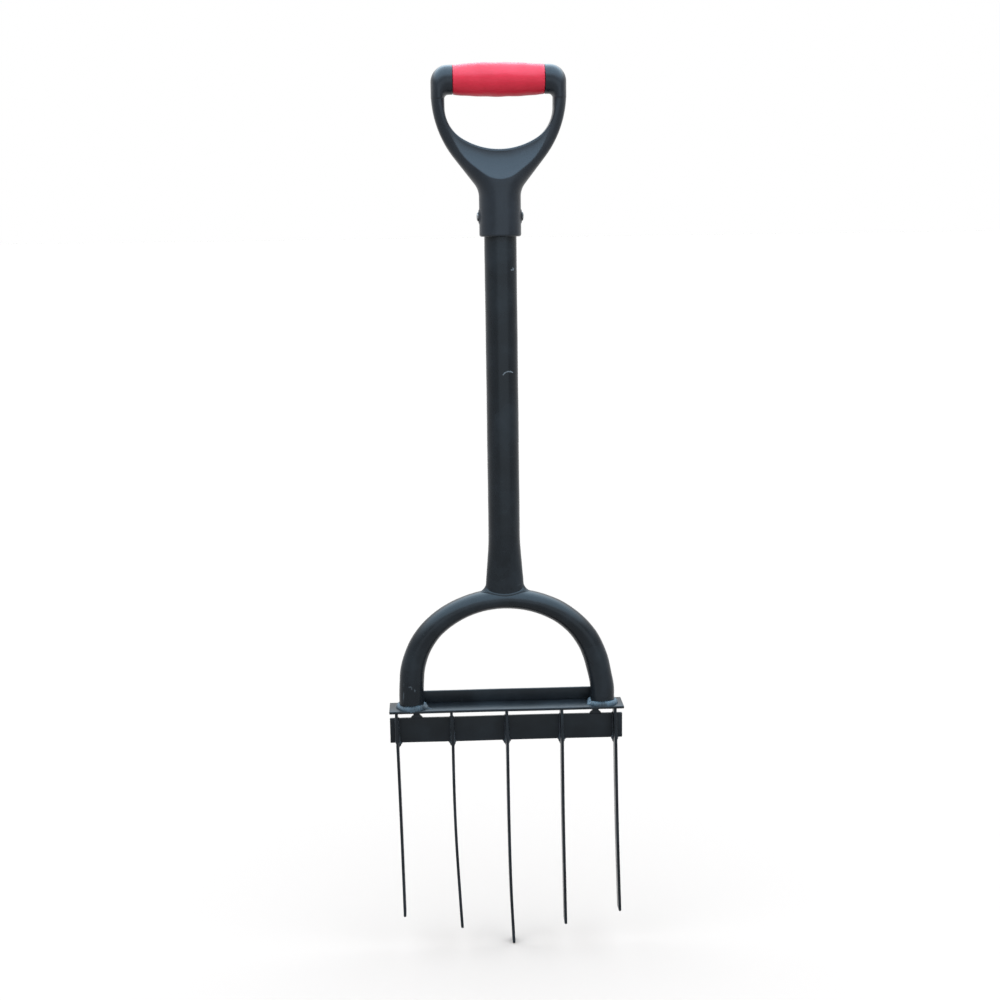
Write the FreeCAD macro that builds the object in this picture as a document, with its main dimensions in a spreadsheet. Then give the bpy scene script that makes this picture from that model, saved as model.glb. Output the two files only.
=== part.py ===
"""Lawn aerator fork: a D-grip on a steel shaft, welded to an arched foot frame with five tines.

The frame: +Z up, z = 0 at the tip of the middle tine, x = 0 and y = 0 on the shaft's axis.
The tines, the step plate and the cross bar run along X. +Y is the side away from the tines.
"""
import FreeCAD, Part
import os
from math import atan2, cos, pi, radians, sin, tan

import Sketcher

os.makedirs("parts", exist_ok=True)
doc = FreeCAD.newDocument("lawn_aerator_fork")
sheet = doc.addObject("Spreadsheet::Sheet", "Sizes")
X_AXIS = FreeCAD.Vector(1, 0, 0)
Y_AXIS = FreeCAD.Vector(0, 1, 0)
Z_AXIS = FreeCAD.Vector(0, 0, 1)
TINES = (1, 2, 3, 4, 5)
nodes = []


# ---------------------------------------------------------------- the driving sizes, in mm and degrees
SIZES = {
    # tines: flat strips on edge, welded by hand, so each stands and leans a little off
    "tine_thickness": 3.0,
    "tine_depth": 15.0,
    "tine_spacing": 56.3,
    "tine_1_shift": -0.8, "tine_1_lean": 1.0, "tine_1_tip": 33.1,
    "tine_2_shift": -0.7, "tine_2_lean": 1.8, "tine_2_tip": 18.7,
    "tine_3_shift": -0.2, "tine_3_lean": 1.05, "tine_3_tip": 0.0,
    "tine_4_shift": 0.2, "tine_4_lean": 0.7, "tine_4_tip": 19.4,
    "tine_5_shift": -1.1, "tine_5_lean": 1.3, "tine_5_tip": 32.1,
    "tine_weld_leg": 1.6,
    # step plate, with its upturned rear lip between the legs
    "plate_underside": 254.7,
    "plate_length": 241.0,
    "plate_front": 16.0,
    "plate_thickness": 3.0,
    "lip_length": 196.0,
    "lip_rise": 12.4,
    "lip_thickness": 3.0,
    "lip_clearance": 0.5,
    # cross bar behind the tines, hung under the plate on two lugs
    "bar_length": 241.0,
    "bar_depth": 4.0,
    "bar_width": 26.4,
    "bar_gap": 9.3,
    "lug_offset": 92.7,
    "lug_width": 9.5,
    # arch: one bent tube, squeezed flatter at its crown
    "arch_half_width": 97.4,
    "arch_tube_diameter": 25.0,
    "arch_tube_wall": 1.5,
    "leg_length": 32.3,
    "arch_rise": 80.3,
    "arch_side_radius": 70.0,
    "crown_thickness": 20.7,
    "crown_depth": 28.4,
    "leg_weld_leg": 4.4,
    # shaft: one tube, pressed oval at its foot
    "shaft_diameter": 32.0,
    "shaft_wall": 1.5,
    "shaft_length": 364.5,
    "shaft_insertion": 50.0,
    "swage_length": 72.0,
    "swage_width": 39.6,
    "swage_depth": 23.0,
    "shaft_weld_width": 84.0,
    "shaft_weld_rise": 17.0,
    # D-grip
    "socket_diameter": 41.0,
    "socket_clearance": 0.1,
    "socket_rise": 50.0,
    "socket_chamfer": 1.5,
    "grip_above_socket": 149.4,
    "grip_width": 131.0,
    "grip_depth": 24.0,
    "arm_width": 13.1,
    "elbow_diameter": 26.6,
    "elbow_corner_radius": 15.0,
    "grip_edge_radius": 4.0,
    "grip_side_radius": 100.0,
    "grip_side_drop": 12.2,
    "grip_shoulder_angle": 38.0,
    "grip_neck_radius": 20.0,
    "opening_drop": 65.5,
    "opening_corner_drop": 26.2,
    "opening_corner_radius": 34.0,
    "core_diameter": 18.0,
    "elbow_length": 21.15,
    "sleeve_end_diameter": 26.6,
    "sleeve_middle_diameter": 33.2,
    # rivets through the socket and the shaft's wall
    "rivet_above_socket": 19.3,
    "rivet_diameter": 5.0,
    "rivet_head_diameter": 9.0,
    "rivet_head_height": 1.8,
    "rivet_tail_diameter": 7.0,
    "rivet_tail_height": 1.6,
    "rivet_boss_diameter": 15.0,
    "rivet_boss_rise": 0.8,
}
for row, (alias, number) in enumerate(SIZES.items(), start=1):
    sheet.set(f"A{row}", alias)
    sheet.set(f"B{row}", str(number))
    sheet.setAlias(f"B{row}", alias)
doc.recompute()

# heights above the middle tine's tip, each a sum of sizes
PLATE_TOP = ("plate_underside", "plate_thickness")
SPRING = PLATE_TOP + ("leg_length",)
CROWN = SPRING + ("arch_rise",)
SOCKET_BOTTOM = CROWN + ("shaft_length",)
GRIP_AXIS = SOCKET_BOTTOM + ("grip_above_socket",)
RIVET_AXIS = SOCKET_BOTTOM + ("rivet_above_socket",)
# the lip's front face, just behind the legs
LIP_FRONT = "(Sizes.arch_tube_diameter / 2 + Sizes.lip_clearance)"


def value(*names):
    """The sum of the named sizes, as a number."""
    return sum(float(sheet.get(name)) for name in names)


def cells(*names):
    """The sum of the named sizes, as an expression."""
    return "(" + " + ".join("Sizes." + name for name in names) + ")"


# ---------------------------------------------------------------- shared helpers
def bind(thing, **expressions):
    """Bind properties of a document object; a double underscore stands for a dot."""
    for name, expression in expressions.items():
        thing.setExpression(name.replace("__", "."), expression)
    return thing


def keep(thing, label):
    """Name a finished sub-part."""
    thing.Label = label
    nodes.append(thing)
    return thing


def solid(label, shape):
    """A sub-part whose shape is worked out from the sheet."""
    feature = doc.addObject("Part::Feature", label)
    feature.Shape = shape
    feature.Placement = FreeCAD.Placement()
    return keep(feature, label)


def box(label, length, width, height, left, front, bottom):
    """A block given by six expressions: its three sides and its lowest corner."""
    block = doc.addObject("Part::Box", label)
    return bind(block, Length=length, Width=width, Height=height, Placement__Base__x=left,
                Placement__Base__y=front, Placement__Base__z=bottom)


def new_body(name):
    """An empty body."""
    return doc.addObject("PartDesign::Body", name)


def new_sketch(body, name, plane):
    """A sketch on one of the body's own origin planes."""
    sketch = body.newObject("Sketcher::SketchObject", name)
    origin_plane = next(item for item in body.Origin.OriginFeatures if item.Role == plane)
    sketch.AttachmentSupport = (origin_plane, "")
    sketch.MapMode = "FlatFace"
    return sketch


def pin_point(sketch, geometry, point, across, up):
    """Hold one point of a sketch at two expressions."""
    held = sketch.getPoint(geometry, point)
    for kind, start, expression in (("DistanceX", held.x, across), ("DistanceY", held.y, up)):
        number = sketch.addConstraint(Sketcher.Constraint(kind, -1, 1, geometry, point, start))
        sketch.setExpression(f"Constraints[{number}]", expression)


def draw_loop(sketch, corners, arcs=()):
    """A closed outline through corners given as expressions; arcs maps an edge to its radius."""
    count = len(corners)
    rough = [FreeCAD.Vector(20 * cos(2 * pi * k / count), 20 * sin(2 * pi * k / count), 0)
             for k in range(count)]
    for k in range(count):
        start, end = rough[k], rough[(k + 1) % count]
        if k in arcs:
            middle = (start + end) * 0.55
            sketch.addGeometry(Part.Arc(start, middle, end))
        else:
            sketch.addGeometry(Part.LineSegment(start, end))
    for k in range(count):
        nearer = 1
        further = 2
        if k in arcs and sketch.getPoint(k, 1).distanceToPoint(rough[k]) > 1e-6:
            nearer, further = 2, 1
        pin_point(sketch, k, nearer, *corners[k])
        if k in arcs or (k + 1) % count in arcs:
            pin_point(sketch, k, further, *corners[(k + 1) % count])
        else:
            sketch.addConstraint(Sketcher.Constraint("Coincident", k, further, (k + 1) % count, 1))


def pad(body, name, sketch, length):
    """Raise a sketch along its plane's normal."""
    feature = body.newObject("PartDesign::Pad", name)
    feature.Profile = sketch
    feature.setExpression("Length", length)
    return feature


def turn(body, name, sketch):
    """Turn a sketch once round its own horizontal axis."""
    feature = body.newObject("PartDesign::Revolution", name)
    feature.Profile = sketch
    feature.ReferenceAxis = (sketch, ["H_Axis"])
    feature.Angle = 360.0
    return feature


def ring(centre, across, half_across, half_deep, points=24):
    """A closed smooth oval: half_across along the direction across, half_deep along Y."""
    spots = []
    for k in range(points):
        angle = 2 * pi * k / points
        spots.append(centre + across * (half_across * cos(angle)) + Y_AXIS * (half_deep * sin(angle)))
    curve = Part.BSplineCurve()
    curve.interpolate(spots, PeriodicFlag=True)
    return Part.Wire([curve.toShape()])


def hollow(forms, bores):
    """Bore each form by its own bore, then join the lengths into one tube."""
    lengths = [form.cut(bore) for form, bore in zip(forms, bores)]
    return lengths[0].fuse(lengths[1:])


# ---------------------------------------------------------------- tines, cross bar and step plate
def tine_top(number):
    """Where a tine meets the plate, along X, as an expression."""
    return f"({number - 3} * Sizes.tine_spacing + Sizes.tine_{number}_shift)"


def build_tine(number):
    """A flat strip on edge, its blunt tip below and its square end against the plate."""
    body = new_body(f"tine_{number}")
    sketch = new_sketch(body, f"tine_{number}_outline", "XZ_Plane")
    top = "Sizes.plate_underside"
    tip = f"Sizes.tine_{number}_tip"
    run = f"(({top} - {tip}) * tan(Sizes.tine_{number}_lean))"
    half = "Sizes.tine_thickness / 2"
    left = f"{tine_top(number)} - {half}"
    right = f"{tine_top(number)} + {half}"
    draw_loop(sketch, [(left, top), (right, top), (f"{right} + {run}", tip), (f"{left} + {run}", tip)])
    body.Tip = pad(body, f"tine_{number}_strip", sketch, "Sizes.tine_depth")
    keep(body, f"tine_{number}")


def draw_block(sketch, half_length, front, rear):
    """A rectangle centred across, from one depth to another."""
    draw_loop(sketch, [(f"-{half_length}", front), (half_length, front),
                       (half_length, rear), (f"-{half_length}", rear)])


def build_plate():
    """The flat step plate, and the low upturned lip that clears the back of the arch's legs."""
    body = new_body("step_plate")
    flat = new_sketch(body, "plate_outline", "XY_Plane")
    rear = f"({LIP_FRONT} + Sizes.lip_thickness)"
    draw_block(flat, "Sizes.plate_length / 2", "-Sizes.plate_front", rear)
    bind(flat, AttachmentOffset__Base__z="Sizes.plate_underside")
    pad(body, "plate_flat", flat, "Sizes.plate_thickness")
    lip = new_sketch(body, "lip_outline", "XY_Plane")
    draw_block(lip, "Sizes.lip_length / 2", LIP_FRONT, rear)
    bind(lip, AttachmentOffset__Base__z=cells(*PLATE_TOP))
    body.Tip = pad(body, "plate_lip", lip, "Sizes.lip_rise")
    keep(body, "step_plate")


def build_bar():
    """The cross bar on edge behind the tines, and the two lugs that hang it from the plate."""
    bottom = "(Sizes.plate_underside - Sizes.bar_gap - Sizes.bar_width)"
    keep(box("tine_bar", "Sizes.bar_length", "Sizes.bar_depth", "Sizes.bar_width",
             "-Sizes.bar_length / 2", "0", bottom), "tine_bar")
    for side, sign in (("left", "-"), ("right", "")):
        label = f"spacer_lug_{side}"
        keep(box(label, "Sizes.lug_width", "Sizes.bar_depth", "Sizes.bar_gap",
                 f"{sign}Sizes.lug_offset - Sizes.lug_width / 2", "0",
                 "Sizes.plate_underside - Sizes.bar_gap"), label)


def build_tine_weld(number):
    """Two fillets of weld in the corners between a tine's sides and the bar's front face."""
    high = value("plate_underside") - value("bar_gap")
    low = high - value("bar_width")
    slope = tan(radians(value(f"tine_{number}_lean")))
    middle = (number - 3) * value("tine_spacing") + value(f"tine_{number}_shift")
    middle += (value("plate_underside") - low) * slope
    leg = value("tine_weld_leg")
    along = FreeCAD.Vector(-(high - low) * slope, 0, high - low)
    beads = []
    for side in (-1, 1):
        corner = middle + side * value("tine_thickness") / 2
        spots = [FreeCAD.Vector(corner, 0, low), FreeCAD.Vector(corner + side * leg, 0, low),
                 FreeCAD.Vector(corner, -leg, low), FreeCAD.Vector(corner, 0, low)]
        beads.append(Part.Face(Part.makePolygon(spots)).extrude(along))
    solid(f"tine_weld_{number}", Part.makeCompound(beads))


# ---------------------------------------------------------------- arch
def arch_station(turned):
    """Centre, outward direction and flattening of the arch's tube where it has turned so far.

    The centre line is two side arcs and one wider crown arc that meets them tangentially.
    turned runs from -90 degrees at the left spring to 90 at the right; 0 is the crown.
    """
    side_radius = value("arch_side_radius")
    offset = value("arch_half_width") - side_radius
    rise = value("arch_rise")
    crown_radius = (offset ** 2 + rise ** 2 - side_radius ** 2) / (2 * (rise - side_radius))
    joint = atan2(offset, crown_radius - rise)
    outward = FreeCAD.Vector(sin(turned), 0, cos(turned))
    if abs(turned) > joint:
        middle = FreeCAD.Vector(offset if turned > 0 else -offset, 0, value(*SPRING))
        centre = middle + outward * side_radius
    else:
        centre = FreeCAD.Vector(0, 0, value(*CROWN) - crown_radius) + outward * crown_radius
    return centre, outward, cos(turned) ** 2


def arch_forms(wall):
    """The arch's outer forms, or with a wall its bores: the bend, then the two straight legs."""
    radius = value("arch_tube_diameter") / 2
    rings = []
    for step in range(-6, 7):
        centre, outward, flat = arch_station(radians(15 * step))
        half_across = radius + (value("crown_thickness") / 2 - radius) * flat - wall
        half_deep = radius + (value("crown_depth") / 2 - radius) * flat - wall
        rings.append(ring(centre, outward, half_across, half_deep))
    drop = Z_AXIS * -value("leg_length")
    legs = [Part.Face(end).extrude(drop) for end in (rings[0], rings[-1])]
    return [Part.makeLoft(rings, True, False)] + legs


def build_arch(forms):
    """One bent tube, open at both feet."""
    solid("arch_tube", hollow(forms, arch_forms(value("arch_tube_wall"))))
    for side, sign in (("left", "-"), ("right", "")):
        skirt = doc.addObject("Part::Cone", f"leg_weld_skirt_{side}")
        bind(skirt, Radius1="Sizes.arch_tube_diameter / 2 + Sizes.leg_weld_leg",
             Radius2="Sizes.arch_tube_diameter / 2", Height="Sizes.leg_weld_leg",
             Placement__Base__x=f"{sign}Sizes.arch_half_width", Placement__Base__z=cells(*PLATE_TOP))
        leg = doc.addObject("Part::Cylinder", f"leg_weld_bore_{side}")
        bind(leg, Radius="Sizes.arch_tube_diameter / 2", Height="Sizes.leg_weld_leg",
             Placement__Base__x=f"{sign}Sizes.arch_half_width", Placement__Base__z=cells(*PLATE_TOP))
        bead = doc.addObject("Part::Cut", f"leg_weld_ring_{side}")
        bead.Base = skirt
        bead.Tool = leg
        seat = box(f"leg_weld_seat_{side}", "Sizes.arch_tube_diameter * 2",
                   f"Sizes.plate_front + {LIP_FRONT}", "Sizes.leg_weld_leg",
                   f"{sign}Sizes.arch_half_width - Sizes.arch_tube_diameter",
                   "-Sizes.plate_front", cells(*PLATE_TOP))
        weld = doc.addObject("Part::Common", f"leg_weld_{side}")
        weld.Base = bead
        weld.Tool = seat
        keep(weld, f"leg_weld_{side}")


# ---------------------------------------------------------------- shaft
def shaft_forms(wall):
    """The shaft's outer forms, or with a wall its bores: the pressed foot, then the round length."""
    radius = value("shaft_diameter") / 2 - wall
    foot = value(*CROWN)
    top = value(*SOCKET_BOTTOM) + value("shaft_insertion")
    rings = []
    for share in (0.0, 0.2, 0.4, 0.6, 0.8, 1.0):
        bend = (1 + cos(pi * share)) / 2
        across = radius + (value("swage_width") / 2 - wall - radius) * bend
        deep = radius + (value("swage_depth") / 2 - wall - radius) * bend
        centre = FreeCAD.Vector(0, 0, foot + value("swage_length") * share)
        rings.append(ring(centre, X_AXIS, across, deep))
    straight = Part.Face(rings[-1]).extrude(Z_AXIS * (top - foot - value("swage_length")))
    return [Part.makeLoft(rings, True, False), straight]


def rivet_holes(inner, outer):
    """Two drilled holes along X, from one radius to another."""
    holes = []
    for side in (-1, 1):
        start = FreeCAD.Vector(side * inner, 0, value(*RIVET_AXIS))
        holes.append(Part.makeCylinder(value("rivet_diameter") / 2, outer - inner, start, X_AXIS * side))
    return Part.makeCompound(holes)


def build_shaft(forms, arch_bend):
    """The shaft's tube, its foot coped over the arch's crown, and the weld round that joint."""
    tube = hollow(forms, shaft_forms(value("shaft_wall"))).cut(arch_bend)
    tube = tube.cut(rivet_holes(value("shaft_diameter") / 4, value("shaft_diameter")))
    solid("shaft_tube", tube)
    crown_top = value(*CROWN) + value("crown_thickness") / 2
    rise = value("shaft_weld_rise")
    foot_deep = value("crown_depth") / 2
    rings = []
    for share in (0.0, 0.25, 0.5, 0.75, 1.0):
        flare = (1 - share) ** 2.5
        across = value("swage_width") / 2 + (value("shaft_weld_width") - value("swage_width")) / 2 * flare
        deep = value("swage_depth") / 2 + (foot_deep - value("swage_depth") / 2) * flare
        height = crown_top + rise * (share - 0.5)
        rings.append(ring(FreeCAD.Vector(0, 0, height), X_AXIS, across, deep))
    skirt = Part.makeLoft(rings, True, False)
    solid("shaft_weld", skirt.cut(forms[0]).cut(arch_bend))


# ---------------------------------------------------------------- D-grip
def grip_outline():
    """Half of the U-shaped yoke's outline, from the sleeve's end down to the neck, as edges."""
    axis = value(*GRIP_AXIS)
    half = value("grip_width") / 2
    elbow = value("elbow_diameter") / 2
    corner = value("elbow_corner_radius")
    side = value("grip_side_radius")
    lean = radians(value("grip_shoulder_angle"))
    neck_half = value("socket_diameter") / 2
    neck = value("grip_neck_radius")

    def spot(across, up):
        return FreeCAD.Vector(across, 0, up)

    def arc(centre, radius, start, end):
        points = [centre + FreeCAD.Vector(radius * cos(a), 0, radius * sin(a))
                  for a in (start, (start + end) / 2, end)]
        return Part.Arc(*points).toShape(), points[0], points[2]

    inner_end = spot(half - value("elbow_length"), axis + elbow)
    bend, bend_start, bend_end = arc(spot(half - corner, axis + elbow - corner), corner, pi / 2, 0)
    flank, flank_start, flank_end = arc(spot(half - side, axis - value("grip_side_drop")), side, 0, -lean)
    sharp = flank_end.z - (flank_end.x - neck_half) / tan(lean)
    tangent = neck * tan(lean / 2)
    hollow_centre = spot(neck_half + neck, sharp - tangent)
    hollow, hollow_start, hollow_end = arc(hollow_centre, neck, pi - lean, pi)
    edges = [Part.makeLine(inner_end, bend_start), bend, Part.makeLine(bend_end, flank_start), flank,
             Part.makeLine(flank_end, hollow_start), hollow,
             Part.makeLine(hollow_end, spot(0, hollow_end.z))]
    # the finger opening: a straight side, a corner arc and a wider arc across the bottom
    inside = half - value("arm_width")
    ceiling = axis - elbow
    start = axis - value("opening_corner_drop")
    bottom = axis - value("opening_drop")
    radius = value("opening_corner_radius")
    offset = inside - radius
    drop = start - bottom
    wide = (offset ** 2 + drop ** 2 - radius ** 2) / (2 * (drop - radius))
    meet = atan2(-(wide - drop), offset)
    corner_arc, corner_start, corner_end = arc(spot(offset, start), radius, 0, meet)
    floor, floor_start, floor_end = arc(spot(0, bottom + wide), wide, meet, -pi / 2)
    edges += [Part.makeLine(inner_end, spot(inner_end.x, ceiling)),
              Part.makeLine(spot(inner_end.x, ceiling), spot(inside, ceiling)),
              Part.makeLine(spot(inside, ceiling), corner_start), corner_arc, floor]
    return edges


def build_grip():
    """The moulded D-grip: yoke, elbows, core rod and the socket that takes the shaft."""
    depth = value("grip_depth")
    half_edges = grip_outline()
    other_half = [edge.mirror(FreeCAD.Vector(), X_AXIS) for edge in half_edges]
    outline = Part.Wire(Part.__sortEdges__(half_edges + other_half))
    slab = Part.Face(outline).extrude(Y_AXIS * depth)
    slab.translate(Y_AXIS * (-depth / 2))
    rims = [edge for edge in slab.Edges
            if abs(abs(edge.CenterOfMass.y) - depth / 2) < 1e-6 and edge.BoundBox.ZLength > 1.0]
    slab = slab.makeFillet(value("grip_edge_radius"), rims)
    axis = value(*GRIP_AXIS)
    sleeve_end = value("grip_width") / 2 - value("elbow_length")
    inside = value("grip_width") / 2 - value("arm_width")
    bottom = value(*SOCKET_BOTTOM)
    radius = value("socket_diameter") / 2
    pieces = []
    for side in (-1, 1):
        elbow_start = FreeCAD.Vector(side * sleeve_end, 0, axis)
        pieces.append(Part.makeCylinder(value("elbow_diameter") / 2,
                                        inside + value("arm_width") / 2 - sleeve_end,
                                        elbow_start, X_AXIS * side))
        boss = radius + value("rivet_boss_rise")
        pieces.append(Part.makeCylinder(value("rivet_boss_diameter") / 2, boss,
                                        FreeCAD.Vector(0, 0, value(*RIVET_AXIS)), X_AXIS * side))
    pieces.append(Part.makeCylinder(value("core_diameter") / 2, 2 * sleeve_end,
                                    FreeCAD.Vector(-sleeve_end, 0, axis), X_AXIS))
    chamfer = value("socket_chamfer")
    pieces.append(Part.makeCone(radius - chamfer, radius, chamfer, FreeCAD.Vector(0, 0, bottom), Z_AXIS))
    pieces.append(Part.makeCylinder(radius, value("socket_rise") - chamfer,
                                    FreeCAD.Vector(0, 0, bottom + chamfer), Z_AXIS))
    pieces.append(Part.makeSphere(radius, FreeCAD.Vector(0, 0, bottom + value("socket_rise"))))
    grip = slab.fuse(pieces)
    bore = Part.makeCylinder(value("shaft_diameter") / 2 + value("socket_clearance"),
                             value("shaft_insertion") + value("socket_clearance"),
                             FreeCAD.Vector(0, 0, bottom), Z_AXIS)
    grip = grip.cut(bore).cut(rivet_holes(value("shaft_diameter") / 4, radius * 2))
    solid("handle_frame", grip)


def build_sleeve():
    """The soft barrel-shaped sleeve round the core rod."""
    body = new_body("grip_sleeve")
    sketch = new_sketch(body, "sleeve_profile", "XZ_Plane")
    half = "(Sizes.grip_width / 2 - Sizes.elbow_length)"
    bore = "Sizes.core_diameter / 2"
    end = "Sizes.sleeve_end_diameter / 2"
    draw_loop(sketch, [(f"-{half}", bore), (half, bore), (half, end), (f"-{half}", end)], arcs=(2,))
    bulge = "(Sizes.sleeve_middle_diameter - Sizes.sleeve_end_diameter) / 2"
    number = sketch.addConstraint(Sketcher.Constraint("Radius", 2, 150.0))
    sketch.setExpression(f"Constraints[{number}]",
                         f"(({half}) * ({half}) + {bulge} * {bulge}) / (2 * {bulge})")
    body.Tip = turn(body, "sleeve_barrel", sketch)
    bind(body, Placement__Base__z=cells(*GRIP_AXIS))
    keep(body, "grip_sleeve")


def build_rivet(side, angle):
    """A blind rivet: a flat-topped head outside, a shank through both walls, a swelled tail."""
    body = new_body(f"socket_rivet_{side}")
    sketch = new_sketch(body, f"rivet_profile_{side}", "XZ_Plane")
    seat = "(Sizes.socket_diameter / 2 + Sizes.rivet_boss_rise)"
    top = f"({seat} + Sizes.rivet_head_height)"
    shank = "Sizes.rivet_diameter / 2"
    head = "Sizes.rivet_head_diameter / 2"
    tail = "Sizes.rivet_tail_diameter / 2"
    grip = f"sqrt((Sizes.shaft_diameter / 2 - Sizes.shaft_wall) ^ 2 - ({tail}) ^ 2)"
    end = f"({grip} - Sizes.rivet_tail_height)"
    draw_loop(sketch, [(end, "0"), (top, "0"), (top, f"{head} * 0.6"),
                       (f"{seat} + Sizes.rivet_head_height * 0.4", head), (seat, head),
                       (seat, shank), (grip, shank), (grip, tail), (end, tail)])
    body.Tip = turn(body, f"rivet_turned_{side}", sketch)
    body.Placement = FreeCAD.Placement(FreeCAD.Vector(), FreeCAD.Rotation(Z_AXIS, angle))
    bind(body, Placement__Base__z=cells(*RIVET_AXIS))
    keep(body, f"socket_rivet_{side}")


# ---------------------------------------------------------------- the whole fork
arch_outside = arch_forms(0.0)
build_grip()
build_sleeve()
build_rivet("left", 180)
build_rivet("right", 0)
build_shaft(shaft_forms(0.0), arch_outside[0])
build_arch(arch_outside)
build_plate()
build_bar()
for tine in TINES:
    build_tine(tine)
    build_tine_weld(tine)

doc.recompute()
for thing in doc.Objects:
    if "Invalid" in thing.State or "Error" in thing.State:
        raise RuntimeError(f"{thing.Name} failed: {thing.State}")
for node in nodes:
    if node.Shape.isNull() or not node.Shape.isValid() or not node.Shape.Solids:
        raise RuntimeError(f"{node.Label} has no valid solid")
    node.Shape.exportStep(f"parts/{node.Label}.step")
    print(f"{node.Label:22s} solids {len(node.Shape.Solids)}  volume {node.Shape.Volume / 1000:9.3f} cm3")
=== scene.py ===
# %% [markdown]
# # A lawn aerator fork, piece by piece
#
# The fork is a D-shaped hand grip riveted to a steel tube, and the tube is welded to an arched foot
# frame. Under the frame hang a step plate, a cross bar and five flat tines. The CAD frame gives every
# place and size. Each visible piece is drawn again here as a smooth surface, with the small things a
# maker leaves behind: weld ripples, rolled edges, strips that are not quite straight.

# %% Load the frame
from math import atan2, cos, pi, radians, sin, tan

import bmesh
import bpy
import numpy as np
from mathutils import Matrix, Vector


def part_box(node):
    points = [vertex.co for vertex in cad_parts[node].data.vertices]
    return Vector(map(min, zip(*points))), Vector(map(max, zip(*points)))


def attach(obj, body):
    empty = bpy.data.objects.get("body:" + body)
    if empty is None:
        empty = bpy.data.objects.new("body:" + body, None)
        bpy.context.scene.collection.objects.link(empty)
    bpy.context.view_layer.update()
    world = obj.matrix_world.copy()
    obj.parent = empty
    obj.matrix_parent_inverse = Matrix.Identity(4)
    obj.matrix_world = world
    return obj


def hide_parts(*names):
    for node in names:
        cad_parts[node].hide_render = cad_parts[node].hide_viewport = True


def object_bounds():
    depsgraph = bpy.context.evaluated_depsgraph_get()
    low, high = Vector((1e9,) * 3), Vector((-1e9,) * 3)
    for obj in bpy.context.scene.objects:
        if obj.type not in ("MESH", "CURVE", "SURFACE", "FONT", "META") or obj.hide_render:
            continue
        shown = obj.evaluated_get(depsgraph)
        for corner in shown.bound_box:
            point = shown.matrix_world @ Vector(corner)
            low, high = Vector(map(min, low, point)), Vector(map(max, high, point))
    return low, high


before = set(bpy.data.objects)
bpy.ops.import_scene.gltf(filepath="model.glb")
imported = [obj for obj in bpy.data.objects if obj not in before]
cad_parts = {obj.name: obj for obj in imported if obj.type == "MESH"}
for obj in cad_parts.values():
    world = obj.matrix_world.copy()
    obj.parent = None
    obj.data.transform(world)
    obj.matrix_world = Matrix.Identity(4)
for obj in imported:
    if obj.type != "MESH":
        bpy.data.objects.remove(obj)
cad_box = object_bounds()
print("frame nodes:", sorted(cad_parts))

# %% [markdown]
# Sizes are in millimetres, because a maker thinks in them, and are turned into metres when a mesh is
# made. Every surface is a grid of points: one direction runs along the piece, the other runs across or
# round it. Rows that shrink to a point close an end, and the doubled points are merged afterwards.

# %% Grids and pieces
MM = 0.001
MERGE = 2e-6                     # metres: closer points than this are one point


def span(node):
    """Lowest and highest corner of a CAD node, in mm."""
    low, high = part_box(node)
    return np.array(low) / MM, np.array(high) / MM


def grid_faces(rows, columns, wrap=False, first=0):
    """Quads that join each point to the next row and column; wrap joins the last column to the first."""
    row = np.arange(rows - 1)[:, None]
    column = np.arange(columns if wrap else columns - 1)[None, :]
    beside = (column + 1) % columns
    corners = [row * columns + column, row * columns + beside,
               (row + 1) * columns + beside, (row + 1) * columns + column]
    return np.stack(np.broadcast_arrays(*corners), axis=-1).reshape(-1, 4) + first


def join_grids(grids):
    """Stack (points, wrap) grids into one list of points and one of quads."""
    points, faces, first = [], [], 0
    for grid, wrap in grids:
        rows, columns = grid.shape[:2]
        points.append(grid.reshape(-1, 3))
        faces.append(grid_faces(rows, columns, wrap, first))
        first += rows * columns
    return np.concatenate(points), np.concatenate(faces)


def make_piece(name, grids, material, nodes, sharp=None):
    """Merge the grids into one closed mesh in metres and let it stand for its CAD nodes.

    Edges that turn by more than sharp degrees are kept hard where it is given.
    """
    points, faces = join_grids(grids)
    mesh = bpy.data.meshes.new(name)
    mesh.from_pydata((points * MM).tolist(), [], faces.tolist())
    work = bmesh.new()
    work.from_mesh(mesh)
    bmesh.ops.remove_doubles(work, verts=work.verts, dist=MERGE)
    bmesh.ops.dissolve_degenerate(work, edges=work.edges, dist=MERGE)
    bmesh.ops.recalc_face_normals(work, faces=work.faces)
    open_edges = sum(1 for edge in work.edges if not edge.is_manifold)
    work.to_mesh(mesh)
    work.free()
    mesh.shade_smooth()
    if sharp is not None:
        mesh.set_sharp_from_angle(angle=radians(sharp))
    piece = bpy.data.objects.new(name, mesh)
    bpy.context.scene.collection.objects.link(piece)
    mesh.materials.append(material)
    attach(piece, "root")
    if nodes:
        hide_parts(*nodes)
    print(f"{name}: {len(mesh.vertices)} points, {len(mesh.polygons)} faces, {open_edges} open edges")
    return piece


def smooth_step(value, start, end):
    """0 before start, 1 after end, and an S-shaped rise between them."""
    share = np.clip((value - start) / (end - start), 0, 1)
    return share * share * (3 - 2 * share)


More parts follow.
